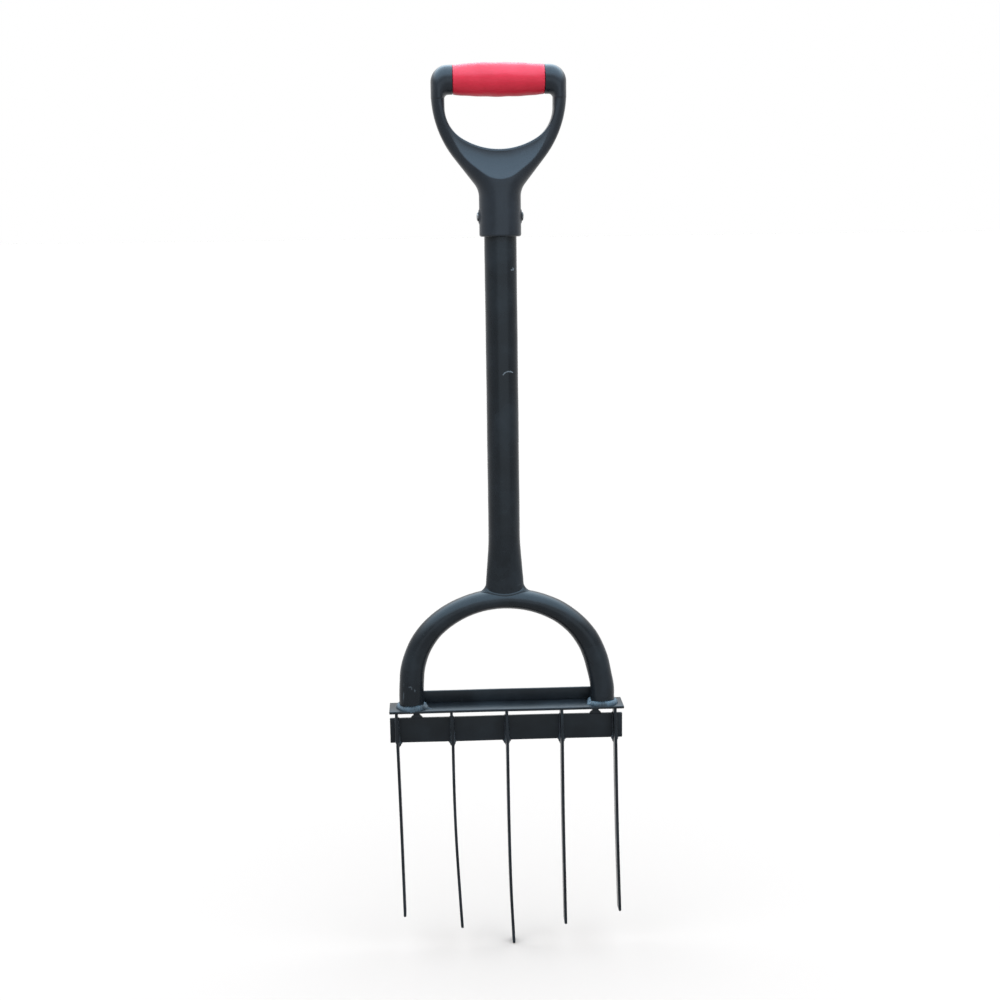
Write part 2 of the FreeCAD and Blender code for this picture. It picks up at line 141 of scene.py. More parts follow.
def smooth_through(knots, values, where):
    """A cubic through (knot, value) pairs that never overshoots: level at each high or low point."""
    knots, values = np.asarray(knots, float), np.asarray(values, float)
    steps = np.diff(values) / np.diff(knots)
    before = np.concatenate([steps[:1], steps])
    after = np.concatenate([steps, steps[-1:]])
    same_way = before * after > 0
    slopes = np.where(same_way, 2 * before * after / np.where(same_way, before + after, 1), 0)
    index = np.clip(np.searchsorted(knots, where) - 1, 0, len(knots) - 2)
    width = knots[index + 1] - knots[index]
    share = np.clip((where - knots[index]) / width, 0, 1)
    start = (1 + 2 * share) * (1 - share) ** 2
    end = share ** 2 * (3 - 2 * share)
    return (start * values[index] + end * values[index + 1]
            + share * (1 - share) ** 2 * width * slopes[index]
            - share ** 2 * (1 - share) * width * slopes[index + 1])


def even_along(path, count):
    """count points spaced evenly along a polyline."""
    steps = np.linalg.norm(np.diff(path, axis=0), axis=1)
    travel = np.concatenate([[0], np.cumsum(steps)])
    wanted = np.linspace(0, travel[-1], count)
    return np.stack([np.interp(wanted, travel, path[:, axis]) for axis in range(path.shape[1])], axis=1)


def lumps(points, seed, size, count=7):
    """A gentle seeded unevenness between -1 and 1: a few sine waves of about this wavelength."""
    random = np.random.default_rng(seed)
    total = np.zeros(points.shape[:-1])
    for _ in range(count):
        direction = random.normal(size=3)
        direction *= 2 * pi / (size * random.uniform(0.7, 1.6) * np.linalg.norm(direction))
        total += np.sin(points @ direction + random.uniform(0, 2 * pi))
    return total / count ** 0.5 / 1.5


# %% [markdown]
# ## Finishes
#
# Three finishes make up nearly all of the fork: black paint on steel, black moulded plastic and a
# softer red plastic. None of them is one flat colour. Paint pools and thins, picks up dust and gets
# scratched down to a paler film, so each material mixes two or three close colours with noise, and
# lets the same noise change how rough and how bumpy the surface is. All of it reads Object
# coordinates, in metres.

# %% Node helpers
class Finish:
    """A material whose nodes are added one call at a time."""

    def __init__(self, name, roughness, specular=0.5, tint=(1, 1, 1)):
        self.material = bpy.data.materials.new(name)
        self.material.use_nodes = True
        self.nodes = self.material.node_tree.nodes
        self.links = self.material.node_tree.links
        self.shader = self.nodes["Principled BSDF"]
        self.shader.inputs["Roughness"].default_value = roughness
        self.shader.inputs["Specular IOR Level"].default_value = specular
        self.shader.inputs["Specular Tint"].default_value = (*tint, 1.0)
        self.place = self.nodes.new("ShaderNodeTexCoord").outputs["Object"]
        self.normal = None

    def stretch(self, scale, turn=(0, 0, 0)):
        """Object coordinates, turned and stretched."""
        mapping = self.nodes.new("ShaderNodeMapping")
        mapping.inputs["Scale"].default_value = scale
        mapping.inputs["Rotation"].default_value = [radians(angle) for angle in turn]
        self.links.new(self.place, mapping.inputs["Vector"])
        return mapping.outputs["Vector"]

    def noise(self, scale, detail=3.0, roughness=0.5, place=None):
        """Cloudy noise between 0 and 1; scale is cycles per metre."""
        node = self.nodes.new("ShaderNodeTexNoise")
        node.inputs["Scale"].default_value = scale
        node.inputs["Detail"].default_value = detail
        node.inputs["Roughness"].default_value = roughness
        self.links.new(place or self.place, node.inputs["Vector"])
        return node.outputs["Fac"]

    def cells(self, scale):
        """Distance to scattered points; scale is points per metre."""
        node = self.nodes.new("ShaderNodeTexVoronoi")
        node.inputs["Scale"].default_value = scale
        self.links.new(self.place, node.inputs["Vector"])
        return node.outputs["Distance"]

    def sum(self, operation, first, second=None):
        """One Math node; sockets or plain numbers."""
        node = self.nodes.new("ShaderNodeMath")
        node.operation = operation
        for socket, given in zip(node.inputs, (first, second)):
            if given is None:
                continue
            if isinstance(given, (int, float)):
                socket.default_value = given
            else:
                self.links.new(given, socket)
        return node.outputs["Value"]

    def spread(self, value, low, high, new_low=0.0, new_high=1.0):
        """Stretch low..high to new_low..new_high, clamped, with a smooth middle."""
        node = self.nodes.new("ShaderNodeMapRange")
        node.interpolation_type = "SMOOTHSTEP"
        for name, number in (("From Min", low), ("From Max", high),
                             ("To Min", new_low), ("To Max", new_high)):
            node.inputs[name].default_value = number
        self.links.new(value, node.inputs["Value"])
        return node.outputs["Result"]

    def blend(self, share, first, second):
        """Mix two colours, each a socket or an RGB triple."""
        node = self.nodes.new("ShaderNodeMix")
        node.data_type = "RGBA"
        self.links.new(share, node.inputs["Factor"])
        for socket, given in ((node.inputs[6], first), (node.inputs[7], second)):
            if isinstance(given, tuple):
                socket.default_value = (*given, 1.0)
            else:
                self.links.new(given, socket)
        return node.outputs[2]

    def raise_by(self, height, depth_mm):
        """Add a bump whose full height is depth_mm."""
        node = self.nodes.new("ShaderNodeBump")
        node.inputs["Strength"].default_value = 1.0
        node.inputs["Distance"].default_value = depth_mm * MM
        self.links.new(height, node.inputs["Height"])
        if self.normal is not None:
            self.links.new(self.normal, node.inputs["Normal"])
        self.normal = node.outputs["Normal"]

    def split(self):
        """X, Y and Z of the Object coordinates."""
        node = self.nodes.new("ShaderNodeSeparateXYZ")
        self.links.new(self.place, node.inputs["Vector"])
        return node.outputs["X"], node.outputs["Y"], node.outputs["Z"]

    def done(self, colour, roughness=None):
        """Plug the results into the shader."""
        self.links.new(colour, self.shader.inputs["Base Color"])
        if roughness is not None:
            self.links.new(roughness, self.shader.inputs["Roughness"])
        if self.normal is not None:
            self.links.new(self.normal, self.shader.inputs["Normal"])
        return self.material


# %% [markdown]
# ### Black paint on steel
#
# Sprayed enamel has a fine orange-peel skin, so its highlights are slightly broken. Dust lies on it in
# faint clouds. Handling leaves hairline scratches, which are drawn as the thin contour lines of a
# stretched noise, kept only where a second noise allows them, so that they are short and rare.

# %% Paint
PAINT_DEEP = (0.0036, 0.0042, 0.0050)
PAINT_THIN = (0.0060, 0.0076, 0.0094)
PAINT_DUST = (0.024, 0.028, 0.032)
SCRATCH = (0.115, 0.130, 0.145)
PAINT_GLOSS = (0.82, 0.92, 1.0)  # the enamel's slightly blue shine


def hairlines(finish, scale, turn, width, seed_shift):
    """Short thin lines: where a stretched noise crosses its middle value, cut up by another noise."""
    place = finish.stretch(scale, turn)
    field = finish.noise(1.0 + seed_shift, detail=1.0, place=place)
    off_middle = finish.sum("ABSOLUTE", finish.sum("SUBTRACT", field, 0.5))
    line = finish.spread(off_middle, 0.0, width, 1.0, 0.0)
    keep = finish.spread(finish.noise(38.0 + 9 * seed_shift, detail=2.0), 0.64, 0.72)
    return finish.sum("MULTIPLY", line, keep)


def painted_steel(name, peel_mm, dust, scratches, gloss=(0.23, 0.33), marks=()):
    """Semi-gloss black enamel; marks are arcs as (centre, radius, start, end, width, paleness), in mm."""
    finish = Finish(name, 0.28, specular=0.17, tint=PAINT_GLOSS)
    broad = finish.noise(22.0, detail=4.0, roughness=0.6)
    fine = finish.noise(420.0, detail=4.0, roughness=0.6)
    colour = finish.blend(finish.spread(broad, 0.35, 0.70), PAINT_DEEP, PAINT_THIN)
    dusty = finish.sum("MULTIPLY", finish.spread(broad, 0.42, 0.75), finish.spread(fine, 0.20, 0.90))
    colour = finish.blend(finish.sum("MULTIPLY", dusty, dust), colour, PAINT_DUST)
    lines = finish.sum("MAXIMUM", hairlines(finish, (26, 26, 5), (0, 12, 8), 0.006, 0.0),
                       hairlines(finish, (9, 14, 30), (0, -24, 15), 0.005, 0.7))
    specks = finish.spread(finish.cells(210.0), 0.05, 0.09, 1.0, 0.0)
    specks = finish.sum("MULTIPLY", specks, finish.spread(finish.noise(31.0), 0.58, 0.66))
    worn = finish.sum("MULTIPLY", finish.sum("MAXIMUM", lines, specks), scratches)
    for mark in marks:
        worn = finish.sum("MAXIMUM", worn, chip(finish, *mark))
    colour = finish.blend(worn, colour, SCRATCH)
    roughness = finish.sum("ADD", finish.spread(broad, 0.3, 0.75, *gloss),
                           finish.sum("MULTIPLY", worn, 0.15))
    finish.raise_by(finish.noise(560.0, detail=1.0), peel_mm * 0.5)
    finish.raise_by(finish.noise(95.0, detail=2.0), peel_mm * 4)
    finish.raise_by(finish.sum("SUBTRACT", 1.0, worn), 0.03)
    return finish.done(colour, roughness)


def chip(finish, centre, radius, start, end, width, paleness):
    """A pale mark on the front: a thin arc round centre (x, z), between two angles in degrees, in mm."""
    x, y, z = finish.split()
    across = finish.sum("SUBTRACT", x, centre[0] * MM)
    up = finish.sum("SUBTRACT", z, centre[1] * MM)
    reach = finish.sum("SQRT", finish.sum("ADD", finish.sum("MULTIPLY", across, across),
                                          finish.sum("MULTIPLY", up, up)))
    off = finish.sum("ABSOLUTE", finish.sum("SUBTRACT", reach, radius * MM))
    wobble = finish.spread(finish.noise(900.0), 0.3, 0.7, 0.3 * width * MM, width * MM)
    line = finish.sum("LESS_THAN", off, wobble)
    angle = finish.sum("ARCTAN2", up, across)
    after = finish.sum("GREATER_THAN", angle, radians(start))
    before = finish.sum("LESS_THAN", angle, radians(end))
    front = finish.sum("LESS_THAN", y, 0.0)
    inside = finish.sum("MULTIPLY", finish.sum("MULTIPLY", after, before), front)
    return finish.sum("MULTIPLY", finish.sum("MULTIPLY", line, inside), paleness)


# %% The three paints
tube_paint = painted_steel("paint_on_tube", peel_mm=0.010, dust=0.18, scratches=0.18, marks=[
    ((6.0, 597.0), 6.6, 50.0, 152.0, 0.75, 0.6),        # a light curved scratch on the shaft's front
    ((10.6, 703.6), 1.1, -150.0, 60.0, 1.1, 0.5),       # a small bruise above it
    ((-98.6, 281.0), 1.6, -50.0, 150.0, 0.8, 0.20),     # two flecks low on the left leg
    ((-96.0, 278.0), 2.2, -30.0, 50.0, 0.9, 0.20),
])
flat_paint = painted_steel("paint_on_flat_bar", peel_mm=0.004, dust=0.16, scratches=0.12,
                           gloss=(0.31, 0.36))
tine_paint = painted_steel("paint_on_tines", peel_mm=0.008, dust=0.25, scratches=0.30)
print("paints:", tube_paint.name, flat_paint.name, tine_paint.name)

# %% [markdown]
# ### Paint over weld
#
# A hand-laid bead is rough and rounded under its paint. Its colour carries a painted highlight: paler and
# bluer on the ripples' tops, where the bead would catch the light, and dark in the hollows. Pointiness
# could read the ripples from the mesh; here a noise at the ripples' size does that work.

# %% Weld paint
def painted_weld(name, highlight_colour, highlight_share):
    """Black enamel over a bead, with a painted highlight: a paler, bluer colour on the ripples' high spots.
    """
    finish = Finish(name, 0.30, specular=0.22, tint=PAINT_GLOSS)
    ripple = finish.noise(85.0, detail=1.0, roughness=0.5)
    grit = finish.noise(900.0, detail=3.0)
    colour = finish.blend(finish.spread(grit, 0.3, 0.7), PAINT_DEEP, PAINT_THIN)
    # painted highlight: where the ripple noise is high the colour turns paler and bluer, standing in for
    # the bead's shine
    high = finish.sum("MULTIPLY", finish.spread(ripple, 0.30, 0.62), highlight_share)
    colour = finish.blend(high, colour, highlight_colour)
    finish.raise_by(grit, 0.012)
    finish.raise_by(ripple, 0.07)
    return finish.done(colour, finish.spread(ripple, 0.3, 0.7, 0.34, 0.26))


# both weld paints carry a painted highlight: the paler, bluer colour on their ripples stands in for their
# shine
leg_weld_paint = painted_weld("paint_on_leg_welds", (0.030, 0.045, 0.057), 0.9)
weld_paint = painted_weld("paint_on_welds", (0.018, 0.022, 0.028), 0.7)
print("weld paints:", leg_weld_paint.name, weld_paint.name)

# %% [markdown]
# ### Moulded plastic
#
# The grip is moulded in a blasted steel tool, so its skin is an even, very fine stipple, a little bluer
# and duller than the paint. Hands polish it where they rub. The tool's two halves leave a thin raised
# line all the way round at the middle of its depth. The red sleeve is a softer plastic with a satin
# sheen, and a fine grain that runs round it.

# %% Plastics
def moulded_plastic(name):
    """Charcoal polypropylene with a blasted stipple, rubbed patches and a parting line at mid depth."""
    finish = Finish(name, 0.36, specular=0.24, tint=(0.80, 0.90, 1.0))
    broad = finish.noise(30.0, detail=4.0, roughness=0.55)
    stipple = finish.noise(1500.0, detail=2.0)
    pits = finish.cells(900.0)
    off_middle = finish.sum("ABSOLUTE", finish.split()[1])
    seam = finish.spread(off_middle, 0.00012, 0.00045, 1.0, 0.0)
    colour = finish.blend(finish.spread(broad, 0.3, 0.7),
                          (0.0048, 0.0060, 0.0080), (0.0078, 0.0096, 0.0125))
    colour = finish.blend(finish.sum("MULTIPLY", finish.spread(stipple, 0.55, 0.75), 0.35),
                          colour, (0.024, 0.028, 0.033))
    scuffs = hairlines(finish, (20, 20, 9), (10, 30, 0), 0.006, 0.3)
    colour = finish.blend(finish.sum("MULTIPLY", scuffs, 0.25), colour, (0.09, 0.10, 0.11))
    finish.raise_by(stipple, 0.010)
    finish.raise_by(pits, 0.012)
    finish.raise_by(broad, 0.08)
    finish.raise_by(seam, 0.12)
    return finish.done(colour, finish.spread(broad, 0.3, 0.7, 0.27, 0.36))


def sleeve_plastic(name):
    """Satin red plastic: close reds, a fine grain round the sleeve, and a darker red near its ends."""
    finish = Finish(name, 0.34, specular=0.24, tint=(1.0, 0.92, 1.0))
    finish.shader.inputs["Subsurface Weight"].default_value = 0.04
    finish.shader.inputs["Subsurface Radius"].default_value = (0.004, 0.001, 0.001)
    broad = finish.noise(36.0, detail=3.0)
    grain = finish.noise(240.0, detail=4.0, place=finish.stretch((1.0, 4.0, 4.0)))
    speck = finish.noise(1800.0, detail=2.0)
    # the sleeve is made a darker red over its last 4 mm at each end, patchy with the grain
    end = finish.spread(finish.sum("ABSOLUTE", finish.split()[0]), 0.0400, 0.0442)
    darker_ends = finish.sum("MULTIPLY", end, finish.spread(grain, 0.40, 0.75))
    colour = finish.blend(finish.spread(broad, 0.3, 0.7), (0.33, 0.0065, 0.019), (0.375, 0.010, 0.026))
    colour = finish.blend(finish.sum("MULTIPLY", finish.spread(grain, 0.35, 0.75), 0.35),
                          colour, (0.27, 0.005, 0.013))
    colour = finish.blend(finish.sum("MULTIPLY", darker_ends, 0.45), colour, (0.20, 0.008, 0.014))
    finish.raise_by(speck, 0.008)
    finish.raise_by(grain, 0.03)
    finish.raise_by(broad, 0.10)
    return finish.done(colour, finish.spread(grain, 0.3, 0.7, 0.32, 0.44))


def rivet_steel(name):
    """Blackened steel, rubbed bright on the dome."""
    finish = Finish(name, 0.33, specular=0.5)
    finish.shader.inputs["Metallic"].default_value = 0.75
    grain = finish.noise(700.0, detail=4.0, roughness=0.6)
    broad = finish.noise(260.0, detail=3.0)
    colour = finish.blend(finish.spread(broad, 0.40, 0.60), (0.030, 0.033, 0.036), (0.20, 0.205, 0.21))
    finish.raise_by(grain, 0.02)
    return finish.done(colour, finish.spread(grain, 0.3, 0.7, 0.26, 0.44))


grip_plastic = moulded_plastic("moulded_charcoal_plastic")
red_plastic = sleeve_plastic("satin_red_sleeve")
rivet_metal = rivet_steel("blackened_rivet_steel")
print("plastics and rivet steel:", grip_plastic.name, red_plastic.name, rivet_metal.name)

# %% [markdown]
# ## The D-grip
#
# The grip is one moulding: a socket that the shaft pushes into, a web that spreads into two arms, and
# two elbows that carry the sleeve. A sculptor would cut it from a block. Here one quarter of it is
# drawn and mirrored twice. Its skin is two surfaces that meet along a crease. The outer one is a stack
# of level slices, each a superellipse: a circle round the socket, boxier along the arms. The inner one
# is the scoop, a ramp that falls back from the crease to the edge of the finger opening.

# %% Sizes of the grip
low, high = span("handle_frame")
sleeve_low, sleeve_high = span("grip_sleeve")
GRIP_HALF = high[0]                                  # centre to the outside of an arm
GRIP_AXIS = (sleeve_low[2] + sleeve_high[2]) / 2     # height of the sleeve's centre line
FULLER = 0.7                                         # the moulded elbow is rounder than the plain solid
ELBOW = high[2] - GRIP_AXIS + FULLER                 # elbow radius
SOCKET_BOTTOM = low[2]
SLEEVE_END = sleeve_high[0]
SOCKET = high[1]                                     # socket radius
ARM_WIDTH = 13.1                                     # width of an arm beside the opening
INSIDE = GRIP_HALF - ARM_WIDTH                       # centre to the opening's straight side
CREASE_FOOT = SOCKET_BOTTOM + 54.0                   # lowest point of the crease, on the centre line
OPENING_FOOT = GRIP_AXIS - 65.5                      # lowest point of the opening
ELBOW_CORNER = 16.5                                  # rounding of the grip's outer corners
PIVOT_IN = 4.0                                       # from the pivot to the opening's side and top
PIVOT = (INSIDE - PIVOT_IN, GRIP_AXIS - ELBOW - PIVOT_IN)  # centre of the opening's upper corner, (x, z)
print(f"grip: half {GRIP_HALF:.1f}, axis {GRIP_AXIS:.1f}, elbow radius {ELBOW:.1f}, socket {SOCKET:.1f} mm")


# %% Outlines of the grip
def side_reach(z, lean=radians(38), side=100.0, neck=20.0):
    """Centre to silhouette by height: straight arm, wide side arc, sloping shoulder, neck arc, socket."""
    arc_z = GRIP_AXIS - 12.2
    arc = GRIP_HALF - side + np.sqrt(np.maximum(side ** 2 - np.minimum(z - arc_z, 0) ** 2, 0))
    shoulder_x = GRIP_HALF - side + side * cos(lean)
    shoulder_z = arc_z - side * sin(lean)
    slope = shoulder_x + (z - shoulder_z) * tan(lean)
    corner_z = shoulder_z - (shoulder_x - SOCKET) / tan(lean)
    neck_z = corner_z - neck * tan(lean / 2)
    hollow = SOCKET + neck - np.sqrt(np.maximum(neck ** 2 - (z - neck_z) ** 2, 0))
    return np.select([z > shoulder_z, z > neck_z + neck * sin(lean), z > neck_z],
                     [arc, slope, hollow], SOCKET)


def opening_path(points=400):
    """The finger opening's edge, from its foot up to the pivot's height: two arcs and a straight line."""
    corner, start = 34.0, GRIP_AXIS - 26.2
    offset, drop = INSIDE - corner, start - OPENING_FOOT
    wide = (offset ** 2 + drop ** 2 - corner ** 2) / (2 * (drop - corner))
    meet = atan2(drop - wide, offset)
    low_turn = np.linspace(-pi / 2, meet, points)
    high_turn = np.linspace(meet, 0, points)
    floor = np.stack([wide * np.cos(low_turn), OPENING_FOOT + wide + wide * np.sin(low_turn)], axis=1)
    side = np.stack([offset + corner * np.cos(high_turn), start + corner * np.sin(high_turn)], axis=1)
    return np.concatenate([floor, side[1:], [[INSIDE, PIVOT[1]]]])


def crease_path(points=400):
    """The scoop's lower edge: a smooth curve that leaves the centre line level and climbs the arm."""
    rise = np.array([0.0, 1.4, 10.0, 22.7, 39.7, 58.0, PIVOT[1] - CREASE_FOOT])
    reach = np.array([0.0, 8.2, 21.8, 35.7, 45.6, 51.8, INSIDE + 2.2])
    rise = np.concatenate([rise[:0:-1], rise])           # both halves, so that it is level at the middle
    reach = np.concatenate([-reach[:0:-1], reach])
    travel = np.concatenate([[0], np.cumsum(np.hypot(np.diff(rise), np.diff(reach)))])
    travel -= travel[-1] / 2
    where = np.linspace(0, travel[-1], points)
    return np.stack([smooth_through(travel, reach, where),
                     CREASE_FOOT + smooth_through(travel, rise, where)], axis=1)


def corner_reach(turn):
    """Pivot to silhouette round the elbow: a vertical side, a round corner and a level top."""
    corner = ELBOW_CORNER
    top = GRIP_AXIS + ELBOW
    side = (GRIP_HALF - PIVOT[0]) / np.maximum(np.cos(turn), 1e-6)
    level = (top - PIVOT[1]) / np.maximum(np.sin(turn), 1e-6)
    centre = np.array([GRIP_HALF - corner - PIVOT[0], top - corner - PIVOT[1]])
    along = np.cos(turn) * centre[0] + np.sin(turn) * centre[1]
    across = np.cos(turn) * centre[1] - np.sin(turn) * centre[0]
    round_off = along + np.sqrt(np.maximum(corner ** 2 - across ** 2, 0))
    on_side = PIVOT[1] + side * np.sin(turn) < top - corner
    on_top = PIVOT[0] + level * np.cos(turn) < GRIP_HALF - corner
    return np.where(on_side, side, np.where(on_top, level, round_off))


# %% One quarter of the grip
SKIN, SCOOP = 44, 30             # points across the outer skin and across the scoop
ARM_ROWS, ELBOW_ROWS = 110, 40


def scoop_profile(share, reach, depth, edge, curve, roll, soften):
    """Depth across the scoop: level at the crease, down by a power curve, then rolled over the edge."""
    steps = 200
    fine = np.linspace(0, 1, steps)
    slope = curve * (1 - fine) ** (curve - 1) * smooth_step(fine[None, :] * reach[:, None], 0, soften)
    fall = np.cumsum(slope, axis=1)
    fall /= fall[:, -1:]
    ramp = depth[:, None] + (edge - depth)[:, None] * fall
    rows = np.arange(len(reach))[:, None]
    y = ramp[rows, np.clip((share * (steps - 1)).astype(int), 0, steps - 1)]
    left = np.clip(1 - (1 - share) * reach[:, None] / roll[:, None], 0, 1)
    return y - roll[:, None] * (1 - np.sqrt(1 - left ** 2)) * np.sign(y)


def grip_quarter():
    """Front right quarter as two grids that share the crease: rows go up and round, columns go across."""
    crease = even_along(crease_path(), ARM_ROWS)
    opening = even_along(opening_path(), ARM_ROWS)
    # level slices of the outer skin, from the socket's mouth to the pivot's height
    socket_z = np.concatenate([SOCKET_BOTTOM + np.array([0.35, 0.9, 1.8]),
                               np.linspace(SOCKET_BOTTOM + 3, CREASE_FOOT, 60)[:-1]])
    z = np.concatenate([socket_z, crease[:, 1]])
    inner = np.concatenate([np.zeros(len(socket_z)), crease[:, 0]])
    reach = side_reach(z)
    heights = [SOCKET_BOTTOM, CREASE_FOOT - 3, CREASE_FOOT + 10, CREASE_FOOT + 22, CREASE_FOOT + 58,
               PIVOT[1] + 20]
    depth = smooth_through(heights, [SOCKET, SOCKET, 18.9, 16.6, 13.5, 13.3], z)
    power = smooth_through(heights, [2.0, 2.0, 2.35, 2.8, 3.4, 3.2], z)
    mouth = np.clip((SOCKET_BOTTOM + 1.8 - z) / 1.8, 0, 1) ** 2 * 1.4
    reach, depth = reach - mouth, depth - mouth
    last = np.arccos(np.clip(inner / reach, 0, 1) ** (power / 2))
    share = np.linspace(0, 1, SKIN) ** 1.6
    turn = last[:, None] * (1 - share)[None, :]
    x = reach[:, None] * np.cos(turn) ** (2 / power)[:, None]
    y = -depth[:, None] * np.sin(turn) ** (2 / power)[:, None]
    skin = np.stack([x, y, np.broadcast_to(z[:, None], x.shape)], axis=-1)
    # the scoop, from the crease to the opening's edge and then through to mid depth
    slices = skin[len(socket_z):]
    climb = np.linspace(0, 1, ARM_ROWS)
    gap = np.linalg.norm(opening - crease, axis=1)
    edge = -smooth_through([0, 0.35, 0.7, 1.0], [6.4, 7.0, 9.6, 10.6], climb)
    roll = np.minimum(2.4, 0.9 * gap)
    across = np.concatenate([np.linspace(0, 1, SCOOP - 10) ** 1.25 * 0.88, np.linspace(0.89, 1.0, 10)])
    across = np.broadcast_to(across[None, :], (ARM_ROWS, SCOOP))
    ramp = scoop_profile(across, gap, slices[:, 0, 1], edge, 1.7, roll, 2.2)
    flat = crease[:, None, :] + (opening - crease)[:, None, :] * across[..., None]
    scoop = np.stack([flat[..., 0], ramp, flat[..., 1]], axis=-1)
    through = np.linspace(0, 1, 5)[None, 1:]
    wall = np.stack([np.broadcast_to(opening[:, None, 0], (ARM_ROWS, 4)), ramp[:, -1:] * (1 - through),
                     np.broadcast_to(opening[:, None, 1], (ARM_ROWS, 4))], axis=-1)
    scoop = np.concatenate([scoop, wall], axis=1)
    # up the arm both surfaces turn into a round bar
    skin_turn = np.linspace(2.0, 0, SKIN)
    scoop_turn = np.linspace(2.0, pi, scoop.shape[1])
    rounding = smooth_step(climb, 0.62, 1.25)[:, None]
    bar_width = reach[len(socket_z):] - opening[:, 0]

    def round_bar(turns, heights_here):
        across_bar = (1 + np.cos(turns)) / 2
        return np.stack([opening[:, :1] + bar_width[:, None] * across_bar[None, :],
                         -depth[len(socket_z):, None] * np.sin(turns)[None, :],
                         heights_here], axis=-1)

    slices = slices + rounding[..., None] * (round_bar(skin_turn, slices[..., 2]) - slices)
    scoop = scoop + rounding[..., None] * (round_bar(scoop_turn, scoop[..., 2]) - scoop)
    skin = np.concatenate([skin[:len(socket_z)], slices])
    # the elbow carries the arm's last slice round the pivot and makes it a circle on the way
    bend = np.linspace(0, pi / 2, ELBOW_ROWS)[1:]
    whole = smooth_step(bend, -0.5, 1.1)[:, None]
    far = corner_reach(bend)

    def elbow(last_slice, turns):
        share_arm = (last_slice[:, 0] - opening[-1, 0]) / bar_width[-1]
        share_here = share_arm[None, :] + whole * ((1 + np.cos(turns)) / 2 - share_arm)[None, :]
        y_here = last_slice[None, :, 1] + whole * (-ELBOW * np.sin(turns) - last_slice[:, 1])[None, :]
        out = PIVOT_IN + (far[:, None] - PIVOT_IN) * share_here
        return np.stack([PIVOT[0] + out * np.cos(bend)[:, None], y_here,
                         PIVOT[1] + out * np.sin(bend)[:, None]], axis=-1)

    # then a short round stub, its rolled end, and the core rod that runs on under the sleeve
    rod_x = np.array([SLEEVE_END + 2, SLEEVE_END + 0.7, SLEEVE_END + 0.3, SLEEVE_END + 0.1,
                      SLEEVE_END + 0.1, SLEEVE_END + 0.1, 0.0])
    rod_r = np.array([ELBOW, ELBOW, ELBOW - 0.15, ELBOW - 0.5, 11.0, 9.0, 9.0])

    def rod(turns):
        return np.stack([np.broadcast_to(rod_x[:, None], (len(rod_x), len(turns))),
                         -rod_r[:, None] * np.sin(turns)[None, :],
                         GRIP_AXIS + rod_r[:, None] * np.cos(turns)[None, :]], axis=-1)

    skin_rows = [skin, elbow(skin[-1], skin_turn), rod(skin_turn)]
    scoop_rows = [scoop, elbow(scoop[-1], scoop_turn), rod(scoop_turn)]
    return np.concatenate(skin_rows), np.concatenate(scoop_rows)


def socket_bore(first_row, bore_radius=16.1, rise=50.0):
    """From the socket's rolled mouth across its end face, up the bore and over its closed top."""
    outer = np.linalg.norm(first_row[:, :2], axis=1)
    heading = first_row[:, :2] / outer[:, None]
    radii = [outer[0], outer[0] - 0.8, bore_radius + 0.7, bore_radius, bore_radius, 8.0, 0.0]
    heights = [SOCKET_BOTTOM + 0.35, SOCKET_BOTTOM, SOCKET_BOTTOM, SOCKET_BOTTOM + 0.7,
               SOCKET_BOTTOM + rise, SOCKET_BOTTOM + rise, SOCKET_BOTTOM + rise]
    rows = [np.column_stack([heading * radius, np.full(len(outer), height)])
            for radius, height in zip(radii, heights)]
    return np.stack(rows)


def raise_bosses(skin, rivet_z, rise=0.8):
    """Push the socket's side out in a low round pad behind each rivet head."""
    away = np.hypot(skin[..., 1], skin[..., 2] - rivet_z)
    pad = rise * (1 - smooth_step(away, 5.6, 7.6)) * (skin[..., 0] > 0)
    skin = skin.copy()
    skin[..., 0] += pad
    return skin


def four_ways(grid):
    """A quarter and its mirror images in X and Y."""
    return [(grid * np.array([across, front, 1.0]), False) for across in (1, -1) for front in (1, -1)]


rivet_low, rivet_high = span("socket_rivet_right")
RIVET_Z = (rivet_low[2] + rivet_high[2]) / 2
skin, scoop = grip_quarter()
bore = socket_bore(skin[0])
skin = raise_bosses(skin, RIVET_Z)
make_piece("d_grip", four_ways(skin) + four_ways(scoop) + four_ways(bore), grip_plastic,
           ["handle_frame"])

# %% [markdown]
# ## Sleeve and rivets
#
# The sleeve is a softer plastic, moulded round the core rod between the two elbows. A lathe shape would
# be exact, but hands and the mould's cooling leave it faintly wavy, so the profile's radius is
# disturbed by a slow noise that fades out at the ends. The rivets are true lathe shapes: a domed head,
# a shank and a flattened tail.

# %% Turned shapes
def turned(profile, centre, axis, count=64):
    """Turn (along, radius) points about an axis through centre; axis is 0 for X and 2 for Z."""
    turn = np.linspace(0, 2 * pi, count, endpoint=False)[None, :]
    along, radius = profile[:, :1], profile[:, 1:]
    first, second = radius * np.cos(turn), radius * np.sin(turn)
    along = np.broadcast_to(along, first.shape)
    order = [along, first, second] if axis == 0 else [first, second, along]
    return np.stack(order, axis=-1) + np.asarray(centre, float)


def rolled(start, end, radius, corner=0.8, steps=6):
    """A quarter-round corner from a flat end face onto a barrel, as (along, radius) points."""
    turn = np.linspace(0, pi / 2, steps)
    inward = 1 if end > start else -1
    return np.column_stack([start + inward * corner * (1 - np.cos(turn)),
                            radius - corner * (1 - np.sin(turn))])


